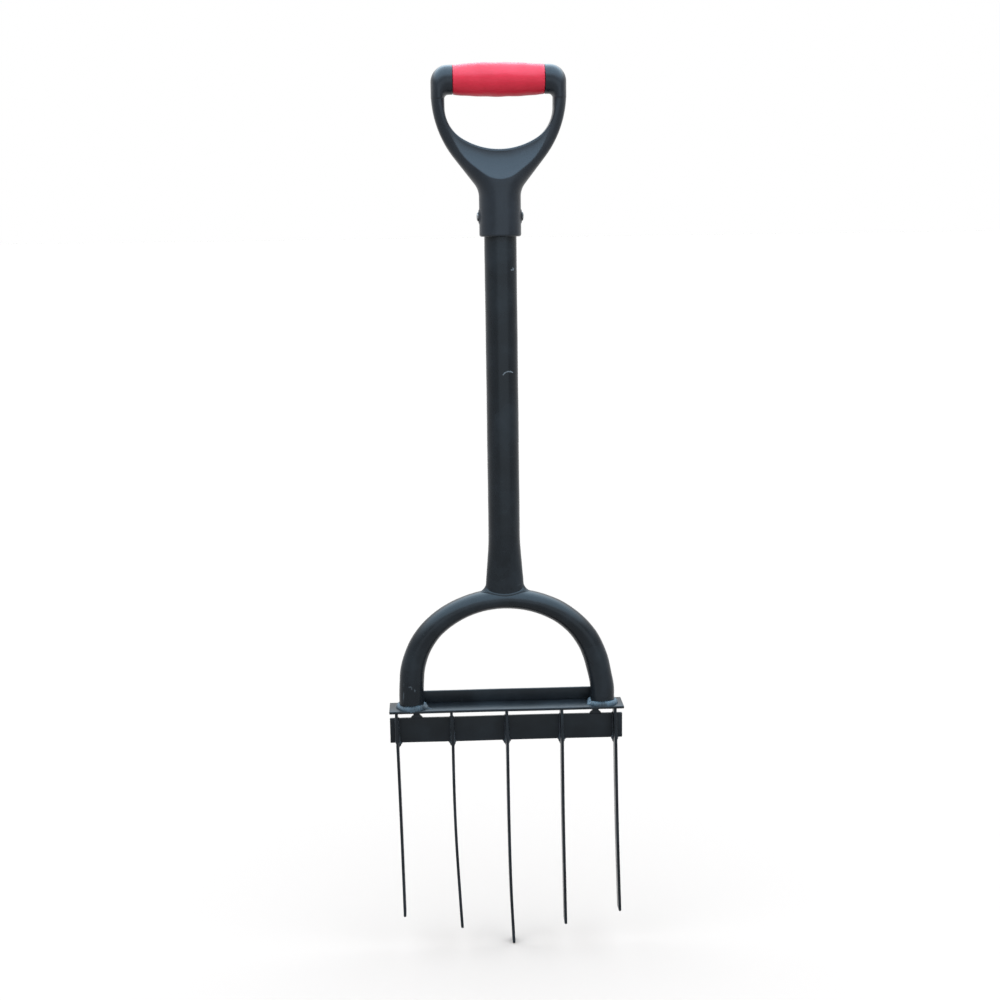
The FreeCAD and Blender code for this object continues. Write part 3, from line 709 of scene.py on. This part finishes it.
# %% The red sleeve
def sleeve_grid(bore_radius=9.15, seam=0.12):
    """Barrel whose radius is a parabola along X plus a slow waviness, with rolled ends and a bore."""
    length = SLEEVE_END - seam
    middle = (sleeve_high[2] - sleeve_low[2]) / 2 - 0.25
    along = np.linspace(-length + 0.8, length - 0.8, 90)
    radius = ELBOW + (middle - ELBOW) * (1 - (along / length) ** 2)
    left = rolled(-length, length, ELBOW)
    right = rolled(length, -length, ELBOW)[::-1]
    start, stop = [[-length, bore_radius]], [[length, bore_radius], [-length, bore_radius]]
    profile = np.concatenate([start, left[:-1], np.column_stack([along, radius]), right[1:], stop])
    grid = turned(profile, (0, 0, GRIP_AXIS), 0, 120)
    wave = (0.55 * lumps(grid, 11, 19.0) - 0.15) * (1 - (grid[..., :1] / length) ** 8)[..., 0]
    wave = np.minimum(wave, 0.2)
    wave[[0, -2, -1]] = 0
    spoke = grid - np.stack([grid[..., 0], 0 * wave, GRIP_AXIS + 0 * wave], axis=-1)
    return grid + spoke / np.linalg.norm(spoke, axis=-1, keepdims=True) * wave[..., None]


make_piece("red_sleeve", [(sleeve_grid(), True)], red_plastic, ["grip_sleeve"])

# %% The rivets
for side, sign in (("left", -1), ("right", 1)):
    node = f"socket_rivet_{side}"
    low, high = span(node)
    outside, inside = (high[0], low[0]) if sign > 0 else (-low[0], -high[0])
    face, head, shank, tail = outside - 1.8, (high[2] - low[2]) / 2, 2.5, 3.5
    turn = np.linspace(0, pi / 2, 9)
    dome = np.column_stack([face + 0.3 + 1.5 * np.sin(turn), head * np.cos(turn)])
    button = np.column_stack([inside + 0.5 - 0.5 * np.sin(turn[::-1]), tail * np.cos(turn[::-1])])
    neck = [[inside + 1.4, tail], [inside + 1.6, shank], [face, shank], [face, head - 0.15]]
    profile = np.concatenate([button, neck, dome]) * [sign, 1]
    make_piece(node + "_domed", [(turned(profile, (0, 0, RIVET_Z), 0, 40), True)], rivet_metal,
               [node])

# %% [markdown]
# ## Shaft and arch
#
# Both are one welded tube each. The shaft's foot was pressed oval and cut hollow to sit over the arch.
# The arch was bent over a former that squeezed its crown flatter and wider. A tube is two nested
# surfaces, outside and bore, joined at the ends: a closed ring of rows. A curve with a bevel can only
# scale its whole section, not flatten it, so the sections are worked out along the path instead.

# %% Tubes
def tube(centres, across, deep, half_across, half_deep, wall=1.5, count=96, dent=0.0, seed=0):
    """Oval rings along a path, outside and then back through the bore; dent pushes the skin in slowly."""
    turn = np.linspace(0, 2 * pi, count, endpoint=False)[None, :, None]
    centres, across, deep = (np.asarray(given, float)[:, None, :] for given in (centres, across, deep))

    def rings(inset):
        first = (half_across - inset)[:, None, None]
        second = (half_deep - inset)[:, None, None]
        return centres + across * first * np.cos(turn) + deep * second * np.sin(turn)

    outside = rings(0.0)
    if dent:
        outward = outside - centres
        outward /= np.linalg.norm(outward, axis=-1, keepdims=True)
        depth = dent * (0.5 + 0.5 * lumps(outside, seed, 34.0)).clip(0, 1)
        outside = outside - outward * depth[..., None]
    return outside, rings(wall)


def closed_tube(outside, bore):
    """Outside rows up, bore rows back down, and the first row again."""
    return np.concatenate([outside, bore[::-1], outside[:1]])


# %% The arch
arch_low, arch_high = span("arch_tube")
TUBE = 12.5                                          # outer radius of the arch's tube
HALF_WIDTH = arch_high[0] - TUBE                     # centre to a leg's centre line
PLATE_TOP = arch_low[2]
CROWN_THICK = 20.7                                   # thickness of the flattened crown
CROWN_HALF = CROWN_THICK / 2
CROWN_DEEP = arch_high[1]
CROWN = arch_high[2] - CROWN_HALF                    # height of the centre line at the crown
LEG_LENGTH = 32.3                                    # straight part of a leg
SPRING = PLATE_TOP + LEG_LENGTH                      # where the legs start to bend
SIDE_ARC = 70.0                                      # radius of the bend above a leg
SIDE_OFFSET = HALF_WIDTH - SIDE_ARC                  # centre to that bend's own centre
LEG_ROWS = 17
FOOT_SPLAY = (-0.1, 2.3)                             # how far the left and right foot stand to the right
PINCH = (2.1, 3.2)                                   # how far each side is bent in above its leg
LEFT_SWELL = 0.03                                    # the left leg is this share thicker
RISE = CROWN - SPRING
CROWN_ARC = (SIDE_OFFSET ** 2 + RISE ** 2 - SIDE_ARC ** 2) / (2 * (RISE - SIDE_ARC))
JOINT = atan2(SIDE_OFFSET, CROWN_ARC - RISE)
print(f"arch: half width {HALF_WIDTH:.1f}, crown at {CROWN:.1f}, crown arc radius {CROWN_ARC:.1f} mm")


def arch_stations():
    """Centre line from the left foot over the crown to the right foot: legs, side arcs and crown arc."""
    turn = np.radians(np.linspace(-90, 90, 121))
    outward = np.stack([np.sin(turn), 0 * turn, np.cos(turn)], axis=1)
    on_side = np.abs(turn) > JOINT
    middle = np.stack([np.sign(turn) * SIDE_OFFSET * on_side, 0 * turn,
                       np.where(on_side, SPRING, CROWN - CROWN_ARC)], axis=1)
    bend = middle + outward * np.where(on_side, SIDE_ARC, CROWN_ARC)[:, None]
    heights = np.linspace(PLATE_TOP + 0.1, SPRING, LEG_ROWS + 1)[:-1]
    left = np.stack([np.full(LEG_ROWS, -HALF_WIDTH), np.zeros(LEG_ROWS), heights], axis=1)
    right = left[::-1] * [-1, 1, 1]
    centres = np.concatenate([left, bend, right])
    side = np.tile([1.0, 0, 0], (LEG_ROWS, 1))
    across = np.concatenate([-side, outward, side])
    flat = np.concatenate([np.zeros(LEG_ROWS), np.cos(turn) ** 2, np.zeros(LEG_ROWS)])
    return centres, across, flat


centres, across, flat = arch_stations()
below = 1 - smooth_step(centres[:, 2], SPRING - 25, SPRING + 35)
# bent by hand: the sides are pinched in above the legs, and the feet splay out again
foot = 1 - smooth_step(centres[:, 2], PLATE_TOP + 12, PLATE_TOP + 40)
pinch = smooth_step(centres[:, 2], PLATE_TOP + 14, PLATE_TOP + 58)
pinch *= 1 - smooth_step(centres[:, 2], PLATE_TOP + 70, CROWN)
centres[:, 0] += np.where(centres[:, 0] > 0, FOOT_SPLAY[1] * foot - PINCH[1] * pinch,
                          FOOT_SPLAY[0] * foot + PINCH[0] * pinch)
swell = 1 + LEFT_SWELL * below * (centres[:, 0] < 0)
deep = np.tile([0, 1.0, 0], (len(centres), 1))
outside, bore = tube(centres, across, deep, (TUBE + (CROWN_HALF - TUBE) * flat) * swell,
                     TUBE + (CROWN_DEEP - TUBE) * flat, dent=0.28, seed=21)
make_piece("arch_bent_tube", [(closed_tube(outside, bore), True)], tube_paint,
           ["arch_tube"], sharp=40)


# %% The shaft
shaft_low, shaft_high = span("shaft_tube")
SHAFT = 16.0                                         # shaft radius
SWAGE_LENGTH = 72.0                                  # height over which the foot is pressed oval
SWAGE_HALF = shaft_high[0]                           # half width at the foot
SWAGE_DEEP = 11.5                                    # half depth at the foot


def crown_surface(x, y):
    """Height of the crown's upper skin over a point: an arc across, an ellipse from front to rear."""
    bulge = np.sqrt(np.clip(1 - (y / CROWN_DEEP) ** 2, 0, 1))
    radius = CROWN_ARC + CROWN_HALF * bulge
    return CROWN - CROWN_ARC + np.sqrt(radius ** 2 - x ** 2)


def shaft_halves(z):
    """Half width and half depth of the shaft: round above, easing to the pressed oval at its foot."""
    share = np.clip((z - CROWN) / SWAGE_LENGTH, 0, 1)
    bend = (1 + np.cos(pi * share)) / 2
    return SHAFT + (SWAGE_HALF - SHAFT) * bend, SHAFT + (SWAGE_DEEP - SHAFT) * bend


z = np.concatenate([CROWN + CROWN_HALF - 4 + np.linspace(0, 1, 40) ** 1.3 * 90,
                    np.linspace(CROWN + 105, shaft_high[2], 60)])
half_across, half_deep = shaft_halves(z)
centres = np.stack([0 * z, 0 * z, z], axis=1)
across = np.tile([1.0, 0, 0], (len(z), 1))
deep = np.tile([0, 1.0, 0], (len(z), 1))
outside, bore = tube(centres, across, deep, half_across, half_deep, dent=0.22, seed=5)
for skin in (outside, bore):
    foot = crown_surface(skin[0, :, 0], skin[0, :, 1]) - 0.5 - skin[0, :, 2]
    skin[..., 2] += foot[None, :] * (np.clip(1 - (z - z[0]) / 50, 0, 1) ** 1.5)[:, None]
make_piece("shaft_pressed_tube", [(closed_tube(outside, bore), True)], tube_paint,
           ["shaft_tube"], sharp=40)

# %% [markdown]
# ## Plate, lip, bar and lugs
#
# These are cut from flat bar with a shear or a saw. Their edges are not knife sharp and their long
# sides are not quite straight. One function carries a rounded rectangle along a straight line and
# rolls its ends, so that light catches every edge. A slow wave bends each strip by a fraction of a
# millimetre, always inwards of its true size.

# %% Flat bars
def rounded_rectangle(half_first, half_second, corner, steps=5):
    """Rows of points round rectangles with quarter-circle corners: half sizes and corner per row."""
    turn = np.concatenate([np.linspace(0, pi / 2, steps) + quarter * pi / 2 for quarter in range(4)])
    quarter = np.repeat(np.arange(4), steps)
    first_sign = np.array([1, -1, -1, 1])[quarter]
    second_sign = np.array([1, 1, -1, -1])[quarter]
    corner = np.minimum(corner, np.minimum(half_first, half_second))[:, None]
    first = first_sign * (half_first[:, None] - corner) + corner * np.cos(turn)
    second = second_sign * (half_second[:, None] - corner) + corner * np.sin(turn)
    return first, second


def flat_bar(low, high, axis, corner=0.5, rows=60, waves=0.12, seed=0, taper=None):
    """A rounded bar that fills a box along one axis.

    Its section is a rounded rectangle that shrinks as a quarter circle does at each end. A slow sine
    wave of up to waves mm bends it, and taper(share of length) scales its first half size.
    """
    low, high = np.asarray(low, float), np.asarray(high, float)
    length = high[axis] - low[axis]
    roll = np.array([0, 0.08, 0.3, 0.62, 1.0]) * corner
    body = np.linspace(corner, length - corner, rows)[1:-1]
    along = np.concatenate([[0], roll, body, length - roll[::-1], [length]])
    near = np.minimum(along, length - along)
    inset = corner - np.sqrt(np.maximum(corner ** 2 - np.maximum(corner - near, 0) ** 2, 0))
    others = [k for k in range(3) if k != axis]
    middle = (low + high) / 2
    half = [(high[k] - low[k]) / 2 - waves - inset for k in others]
    half[0] = half[0] * (1 if taper is None else taper(along / length))
    half = [np.where(np.arange(len(along)) % (len(along) - 1) == 0, 0.0, one) for one in half]
    first, second = rounded_rectangle(half[0], half[1], corner)
    grid = np.zeros(first.shape + (3,))
    grid[..., axis] = low[axis] + along[:, None]
    spot = np.stack([along, 0 * along, 0 * along], axis=-1)
    grid[..., others[0]] = middle[others[0]] + first + waves * lumps(spot, seed, 0.6 * length)[:, None]
    grid[..., others[1]] = (middle[others[1]] + second
                            + waves * lumps(spot, seed + 1, 0.5 * length)[:, None])
    return grid


# %% Step plate and its lip
plate_low, plate_high = span("step_plate")
LIP_HALF = 98.0                                      # half the lip's length: it ends behind the legs
LIP_THICK = 3.0
flat_high = plate_high.copy()
flat_high[2] = PLATE_TOP
make_piece("step_plate_flat", [(flat_bar(plate_low, flat_high, 0, corner=0.6, rows=120, seed=31), True)],
           flat_paint, ["step_plate"], sharp=50)
lip_low = np.array([-LIP_HALF, plate_high[1] - LIP_THICK, PLATE_TOP - 0.4])
lip_high = np.array([LIP_HALF, plate_high[1], plate_high[2]])
make_piece("step_plate_lip", [(flat_bar(lip_low, lip_high, 0, corner=0.6, rows=110, seed=41), True)],
           flat_paint, [], sharp=50)

# %% Cross bar and lugs
bar_low, bar_high = span("tine_bar")
make_piece("cross_bar", [(flat_bar(bar_low, bar_high, 0, corner=0.6, rows=120, seed=51), True)],
           flat_paint, ["tine_bar"], sharp=50)


def lugs_outline(share):
    """Share of the lug's width by height: flared by weld at its foot, then narrow, then wider again."""
    return 1.32 - 0.66 * smooth_step(share, 0.0, 0.42) + 0.30 * smooth_step(share, 0.65, 1.0)


for number, side in enumerate(("left", "right")):
    node = f"spacer_lug_{side}"
    low, high = span(node)
    buried = np.array([0, 0, 0.3])                   # how far its ends go into the plate and the bar
    grid = flat_bar(low - buried, high + buried, 2, corner=0.5, rows=24, waves=0.1, seed=61 + number,
                    taper=lugs_outline)
    make_piece(node + "_block", [(grid, True)], flat_paint, [node], sharp=50)

# %% [markdown]
# ## Tines
#
# Each tine is a strip of 3 mm flat bar standing on edge. It was welded by eye, so it leans, and use has
# bowed it. The CAD node gives where its top and its tip are. The strip is carried along a gentle curve
# between them, with rolled long edges and a blunt, slightly rounded tip.

# %% The five tines
TINE_COUNT = 5
BOWS = (0.2, -2.0, -0.8, -0.6, -0.5)                 # sideways bow at mid length, mm
KINKS = (0.0, 0.5, -0.9, 0.3, 0.0)                   # how far the tip end was knocked aside, mm
TINE_HALF = 1.5


def tine_line(number):
    """Heights and sideways places of a tine's centre line, from tip to plate."""
    low, high = span(f"tine_{number}")
    share = np.concatenate([[0, 0], np.linspace(0, 1, 120) ** 1.15])
    z = low[2] + (high[2] - low[2]) * share
    x = (high[0] - TINE_HALF) + (low[0] + TINE_HALF - (high[0] - TINE_HALF)) * share
    free = np.clip(share / 0.86, 0, 1)
    x = x + BOWS[number - 1] * np.sin(pi * free) - KINKS[number - 1] * np.exp(-(share / 0.16) ** 2)
    x += KINKS[number - 1] * (1 - share)
    return x, z, low, high


def tine_grid(number):
    """The strip: a thin rounded rectangle along the line, drawn in over the last 2 mm to make the tip."""
    x, z, low, high = tine_line(number)
    above_tip = z - low[2]
    pinch = np.sqrt(np.clip(1 - (1 - np.clip(above_tip / 1.6, 0, 1)) ** 2, 0, 1))
    half_x = (TINE_HALF - 0.04) * (0.55 + 0.45 * pinch)
    half_y = (high[1] - low[1]) / 2 * (0.88 + 0.12 * pinch)
    half_x[0] = half_y[0] = 0.0
    first, second = rounded_rectangle(half_x, half_y, np.full(len(z), 0.55))
    middle = (low[1] + high[1]) / 2
    grid = np.stack([x[:, None] + first, middle + second,
                     np.broadcast_to(z[:, None], first.shape)], axis=-1)
    top = grid[-1:].mean(axis=1, keepdims=True) + 0 * grid[-1:]
    return np.concatenate([grid, top])


for number in range(1, TINE_COUNT + 1):
    make_piece(f"tine_{number}_strip", [(tine_grid(number), True)], tine_paint,
               [f"tine_{number}"], sharp=50)

# %% [markdown]
# ## Welds
#
# A bead is a row of frozen puddles. It could be sculpted or displaced by a texture, but a section that
# is carried along the joint stays tidy and closed. Its section is a bulge in the corner, and along
# it the bulge swells and shrinks with each puddle, a millimetre or two apart. The bead's buried half
# stays inside the metal, which keeps every bead a closed mesh without cutting it to its neighbours.

# %% Leg welds
def bead_round(path, outward, size_out, size_up, hollow, seed, lump=0.10, puddles=30):
    """A closed bead carried round a closed path: a section of size_out by size_up, hollowed by a power.

    The section is (cos a, sin a), each to a power: 1 is round, 2 a flat chamfer, 3 a scooped fillet.
    Puddles make it swell and shrink along its length, and lumps roughen that.
    """
    count = len(path)
    turn = np.linspace(0, 2 * pi, count, endpoint=False)
    roll = np.linspace(0, 2 * pi, 28, endpoint=False)[None, :]
    ripple = np.sin(puddles * turn + 1.5 * lumps(path, seed, 20.0))
    swell = 1 + lump * lumps(path, seed, 12.0) + 0.05 * ripple
    cosine, sine = np.cos(roll), np.sin(roll)
    power = hollow[:, None]
    out = (size_out * swell)[:, None] * np.sign(cosine) * np.abs(cosine) ** power
    up = (size_up * swell)[:, None] * np.sign(sine) * np.abs(sine) ** power
    grid = path[:, None, :] + outward[:, None, :] * out[..., None] + np.array([0, 0, 1.0]) * up[..., None]
    return np.concatenate([grid, grid[:1]])


def leg_bead(centre, seed, tail_turn, tail):
    """A bead round a leg's foot; where the torch was lifted it trails off along the plate in a point."""
    turn = np.linspace(0, 2 * pi, 260, endpoint=False)
    outward = np.stack([np.cos(turn), np.sin(turn), 0 * turn], axis=1)
    path = np.asarray(centre) + outward * (TUBE + 0.1)
    away = (turn - radians(tail_turn) + pi) % (2 * pi) - pi
    point = np.exp(-np.abs(away / 0.15) ** 1.5)
    size_out = 3.5 + tail * point
    size_up = 3.9 - 1.0 * point + 0.5 * np.cos(2 * turn + seed)
    bead = bead_round(path, outward, size_out, size_up, 1.05 + 0.9 * point, seed)
    return np.clip(bead, [-1e3, plate_low[1] + 0.05, plate_low[2] + 0.6],
                   [1e3, plate_high[1] - 0.05, 1e3])


for seed, side, place, tail_turn, tail in ((71, "left", FOOT_SPLAY[0] - HALF_WIDTH, -22, 5.5),
                                           (72, "right", HALF_WIDTH + FOOT_SPLAY[1], 205, 2.5)):
    make_piece(f"leg_weld_{side}_bead", [(leg_bead((place, 0, PLATE_TOP), seed, tail_turn, tail), True)],
               leg_weld_paint, [f"leg_weld_{side}"])


# %% Weld at the foot of the shaft
def shaft_foot_bead(seed=81):
    """A bead where the oval foot meets the crown: thin in front and behind, a scooped fillet each side."""
    turn = np.linspace(0, 2 * pi, 260, endpoint=False)
    x, y = (SWAGE_HALF - 0.3) * np.cos(turn), (SWAGE_DEEP - 0.2) * np.sin(turn)
    path = np.stack([x, y, crown_surface(x, y) - 0.2], axis=1)
    outward = np.stack([np.cos(turn), np.sin(turn), 0 * turn], axis=1)
    side = np.abs(np.cos(turn)) ** 10
    bead = bead_round(path, outward, 1.1 + 4.9 * side, 1.2 + 5.2 * side, 1.2 + 1.9 * side, seed, 0.05, 40)
    bead[..., 1] = np.clip(bead[..., 1], -CROWN_DEEP, CROWN_DEEP)
    bead[..., 2] += crown_surface(bead[..., 0], bead[..., 1]) - np.append(path[:, 2], path[0, 2])[:, None]
    return bead


make_piece("shaft_weld_bead", [(shaft_foot_bead(), True)], tube_paint, ["shaft_weld"])


# %% Tine welds
PUDDLE = 2.3                                         # from one puddle of a small bead to the next


def corner_bead(x, z, leg_x, leg_y, y, seed, ripple=0.12):
    """A bead up a corner: ellipses centred on the corner line, swollen by ripples, with pointed ends."""
    turn = np.linspace(0, 2 * pi, 18, endpoint=False)[None, :]
    spot = np.stack([x, 0 * x, z], axis=-1)
    swell = (1 + ripple * np.sin(2 * pi * z / PUDDLE + 2 * lumps(spot, seed, 9.0))
             + 0.10 * lumps(spot, seed, 6.0))
    swell = np.where(leg_x > 0, swell, 1.0)
    return np.stack([x[:, None] + (leg_x * swell)[:, None] * np.cos(turn),
                     y + (leg_y * swell)[:, None] * np.sin(turn),
                     z[:, None] + 0 * turn], axis=-1)


def tine_weld_grids(number):
    """Beads down both sides of a tine on the bar, blobs under the bar's edge, and flares at the plate."""
    line_x, line_z, _, high = tine_line(number)
    grids = []
    top, bottom = bar_high[2], bar_low[2]
    heights = np.array([bottom - 5.5, bottom - 4.2, bottom - 1.8, bottom + 0.1, bottom + 2.2, bottom + 8,
                        top - 6, top - 1, top + 0.8, top + 2.2])
    z = np.linspace(heights[0], heights[-1], 150)
    random = np.random.default_rng(90 + number)
    for side in (-1, 1):
        blob = random.uniform(0.8, 1.15) * (0.35 if (number, side) == (1, -1) else 1.0)
        legs = np.array([0, 0.75, 2.0 * blob, 2.9 * blob, 1.9, 1.35, 1.3, 1.45, 1.1, 0])
        leg = np.maximum(np.interp(z, heights, legs), 0)
        leg[0] = leg[-1] = 0
        edge = np.interp(z, line_z[2:], line_x[2:]) + side * (TINE_HALF - 0.35)
        grids.append((corner_bead(edge, z, leg, np.minimum(leg, 1.7), -0.2, 10 * number + side), True))
        up = np.linspace(high[2] - 3.4, high[2] + 0.4, 24)
        flare = np.interp(up, [up[0], high[2] - 1.4, high[2] - 0.3, up[-1]], [0, 0.55, 1.7, 1.9])
        flare[0] = flare[-1] = 0
        edge = np.interp(up, line_z[2:], line_x[2:]) + side * (TINE_HALF - 0.4)
        grids.append((corner_bead(edge, up, flare, 4.2 * np.sign(flare) * (0.3 + flare / 2.4), -7.0,
                                  10 * number + side + 4, 0.05), True))
    return grids


for number in range(1, TINE_COUNT + 1):
    make_piece(f"tine_weld_{number}_beads", tine_weld_grids(number), weld_paint,
               [f"tine_weld_{number}"])

# %% [markdown]
# ## Floor, light and camera
#
# The fork stands upright over a plain pale floor. A dark glossy thing is seen mostly by what it
# mirrors, so the light is mostly one large soft dome, like a white overcast sky: nearly seven times
# as bright overhead as at the horizon, and bluer there. Top faces then shine blue and pale while
# fronts stay dark, and a wide weak panel in front lifts those a little. The floor's paleness is
# chosen so that, under this dome, it glows as much as the horizon does, and no line shows where they
# meet. The plain Standard view transform keeps colours as they are.

# %% The dome's brightness and the floor's paleness
HORIZON, OVERHEAD = 1.0, 6.8              # brightness
OVERHEAD_TINT = (0.66, 0.85, 1.0)
OVERCAST_FROM, OVERCAST_TO = 0.28, 0.72  # sines of the heights between which the dome brightens


def floor_match(steps=400):
    """Floor colour that glows like the horizon: horizon over the dome's average, weighted by cosine."""
    sine = (np.arange(steps) + 0.5) / steps
    climb = smooth_step(sine, OVERCAST_FROM, OVERCAST_TO)[:, None]
    light = (HORIZON + (OVERHEAD - HORIZON) * climb) * (1 + (np.array(OVERHEAD_TINT) - 1) * climb)
    average = (light * 2 * sine[:, None]).mean(axis=0)
    return tuple(float(part) for part in 1.01 * HORIZON / average)


FLOOR_PALE = floor_match()
print("floor:", [round(part, 3) for part in FLOOR_PALE])

# %% Floor
FLOOR_HALF = 60000.0                                 # wide enough to meet the horizon
FLOOR_TOP = cad_box[0][2] / MM - 0.5                 # just under the longest tine
floor_grid = np.zeros((3, 3, 3))
floor_grid[..., 0] = np.linspace(-FLOOR_HALF, FLOOR_HALF, 3)[None, :]
floor_grid[..., 1] = np.linspace(-FLOOR_HALF, FLOOR_HALF, 3)[:, None]
floor_grid[..., 2] = FLOOR_TOP
points, faces = join_grids([(floor_grid, False)])
floor_mesh = bpy.data.meshes.new("floor")
floor_mesh.from_pydata((points * MM).tolist(), [], faces.tolist())
floor = bpy.data.objects.new("floor", floor_mesh)
bpy.context.scene.collection.objects.link(floor)
floor_finish = Finish("pale_floor", 0.9, specular=0.0)
floor_mesh.materials.append(floor_finish.done(
    floor_finish.blend(floor_finish.noise(3.0), FLOOR_PALE, tuple(1.01 * part for part in FLOOR_PALE))))

# %% Light
world = bpy.data.worlds.new("overcast_dome")
world.use_nodes = True
nodes, links = world.node_tree.nodes, world.node_tree.links
direction = nodes.new("ShaderNodeTexCoord").outputs["Generated"]
height = nodes.new("ShaderNodeSeparateXYZ")
links.new(direction, height.inputs["Vector"])
climb = nodes.new("ShaderNodeMapRange")
climb.interpolation_type = "SMOOTHSTEP"
climb.inputs["From Min"].default_value, climb.inputs["From Max"].default_value = OVERCAST_FROM, OVERCAST_TO
links.new(height.outputs["Z"], climb.inputs["Value"])
for socket, start, stop in (("Strength", HORIZON, OVERHEAD), ("Color", (1.0, 1.0, 1.0), OVERHEAD_TINT)):
    mix = nodes.new("ShaderNodeMix")
    mix.data_type = "FLOAT" if socket == "Strength" else "RGBA"
    first, second, result = (2, 3, 0) if socket == "Strength" else (6, 7, 2)
    mix.inputs[first].default_value = start if socket == "Strength" else (*start, 1.0)
    mix.inputs[second].default_value = stop if socket == "Strength" else (*stop, 1.0)
    links.new(climb.outputs["Result"], mix.inputs["Factor"])
    links.new(mix.outputs[result], nodes["Background"].inputs[socket])
bpy.context.scene.world = world


def soft_panel(name, place, aim, width, height, watts, colour):
    """A rectangular light at place, in metres, that faces aim."""
    light = bpy.data.lights.new(name, "AREA")
    light.shape = "RECTANGLE"
    light.size, light.size_y = width, height
    light.energy = watts
    light.color = colour
    panel = bpy.data.objects.new(name, light)
    panel.location = place
    panel.rotation_mode = "QUATERNION"
    panel.rotation_quaternion = (Vector(aim) - Vector(place)).to_track_quat("-Z", "Y")
    bpy.context.scene.collection.objects.link(panel)
    return panel


soft_panel("front_panel", (0.40, -2.5, 0.65), (0, 0, 0.65), 3.8, 1.3, 20, (0.86, 0.94, 1.0))
bpy.context.scene.view_settings.view_transform = "Standard"

# %% Camera
LENS, SENSOR = 56.52, 36.0                           # mm
EYE = (-0.07180, -1.55896, 0.75317)                  # metres: in front, a little left and above the middle
YAW, PITCH, ROLL = radians(2.5), radians(10.2), radians(0.75)
camera_data = bpy.data.cameras.new("camera")
camera_data.lens = LENS
camera_data.sensor_width = SENSOR
camera_data.clip_start, camera_data.clip_end = 0.05, 300.0
camera = bpy.data.objects.new("camera", camera_data)
camera.location = EYE
level = Matrix.Rotation(-YAW, 3, "Z") @ Matrix.Rotation(pi / 2 - PITCH, 3, "X")
camera.rotation_euler = (level @ Matrix.Rotation(-ROLL, 3, "Z")).to_euler()
bpy.context.scene.collection.objects.link(camera)
bpy.context.scene.camera = camera
print("camera at", EYE, "m with a lens of", LENS, "mm")
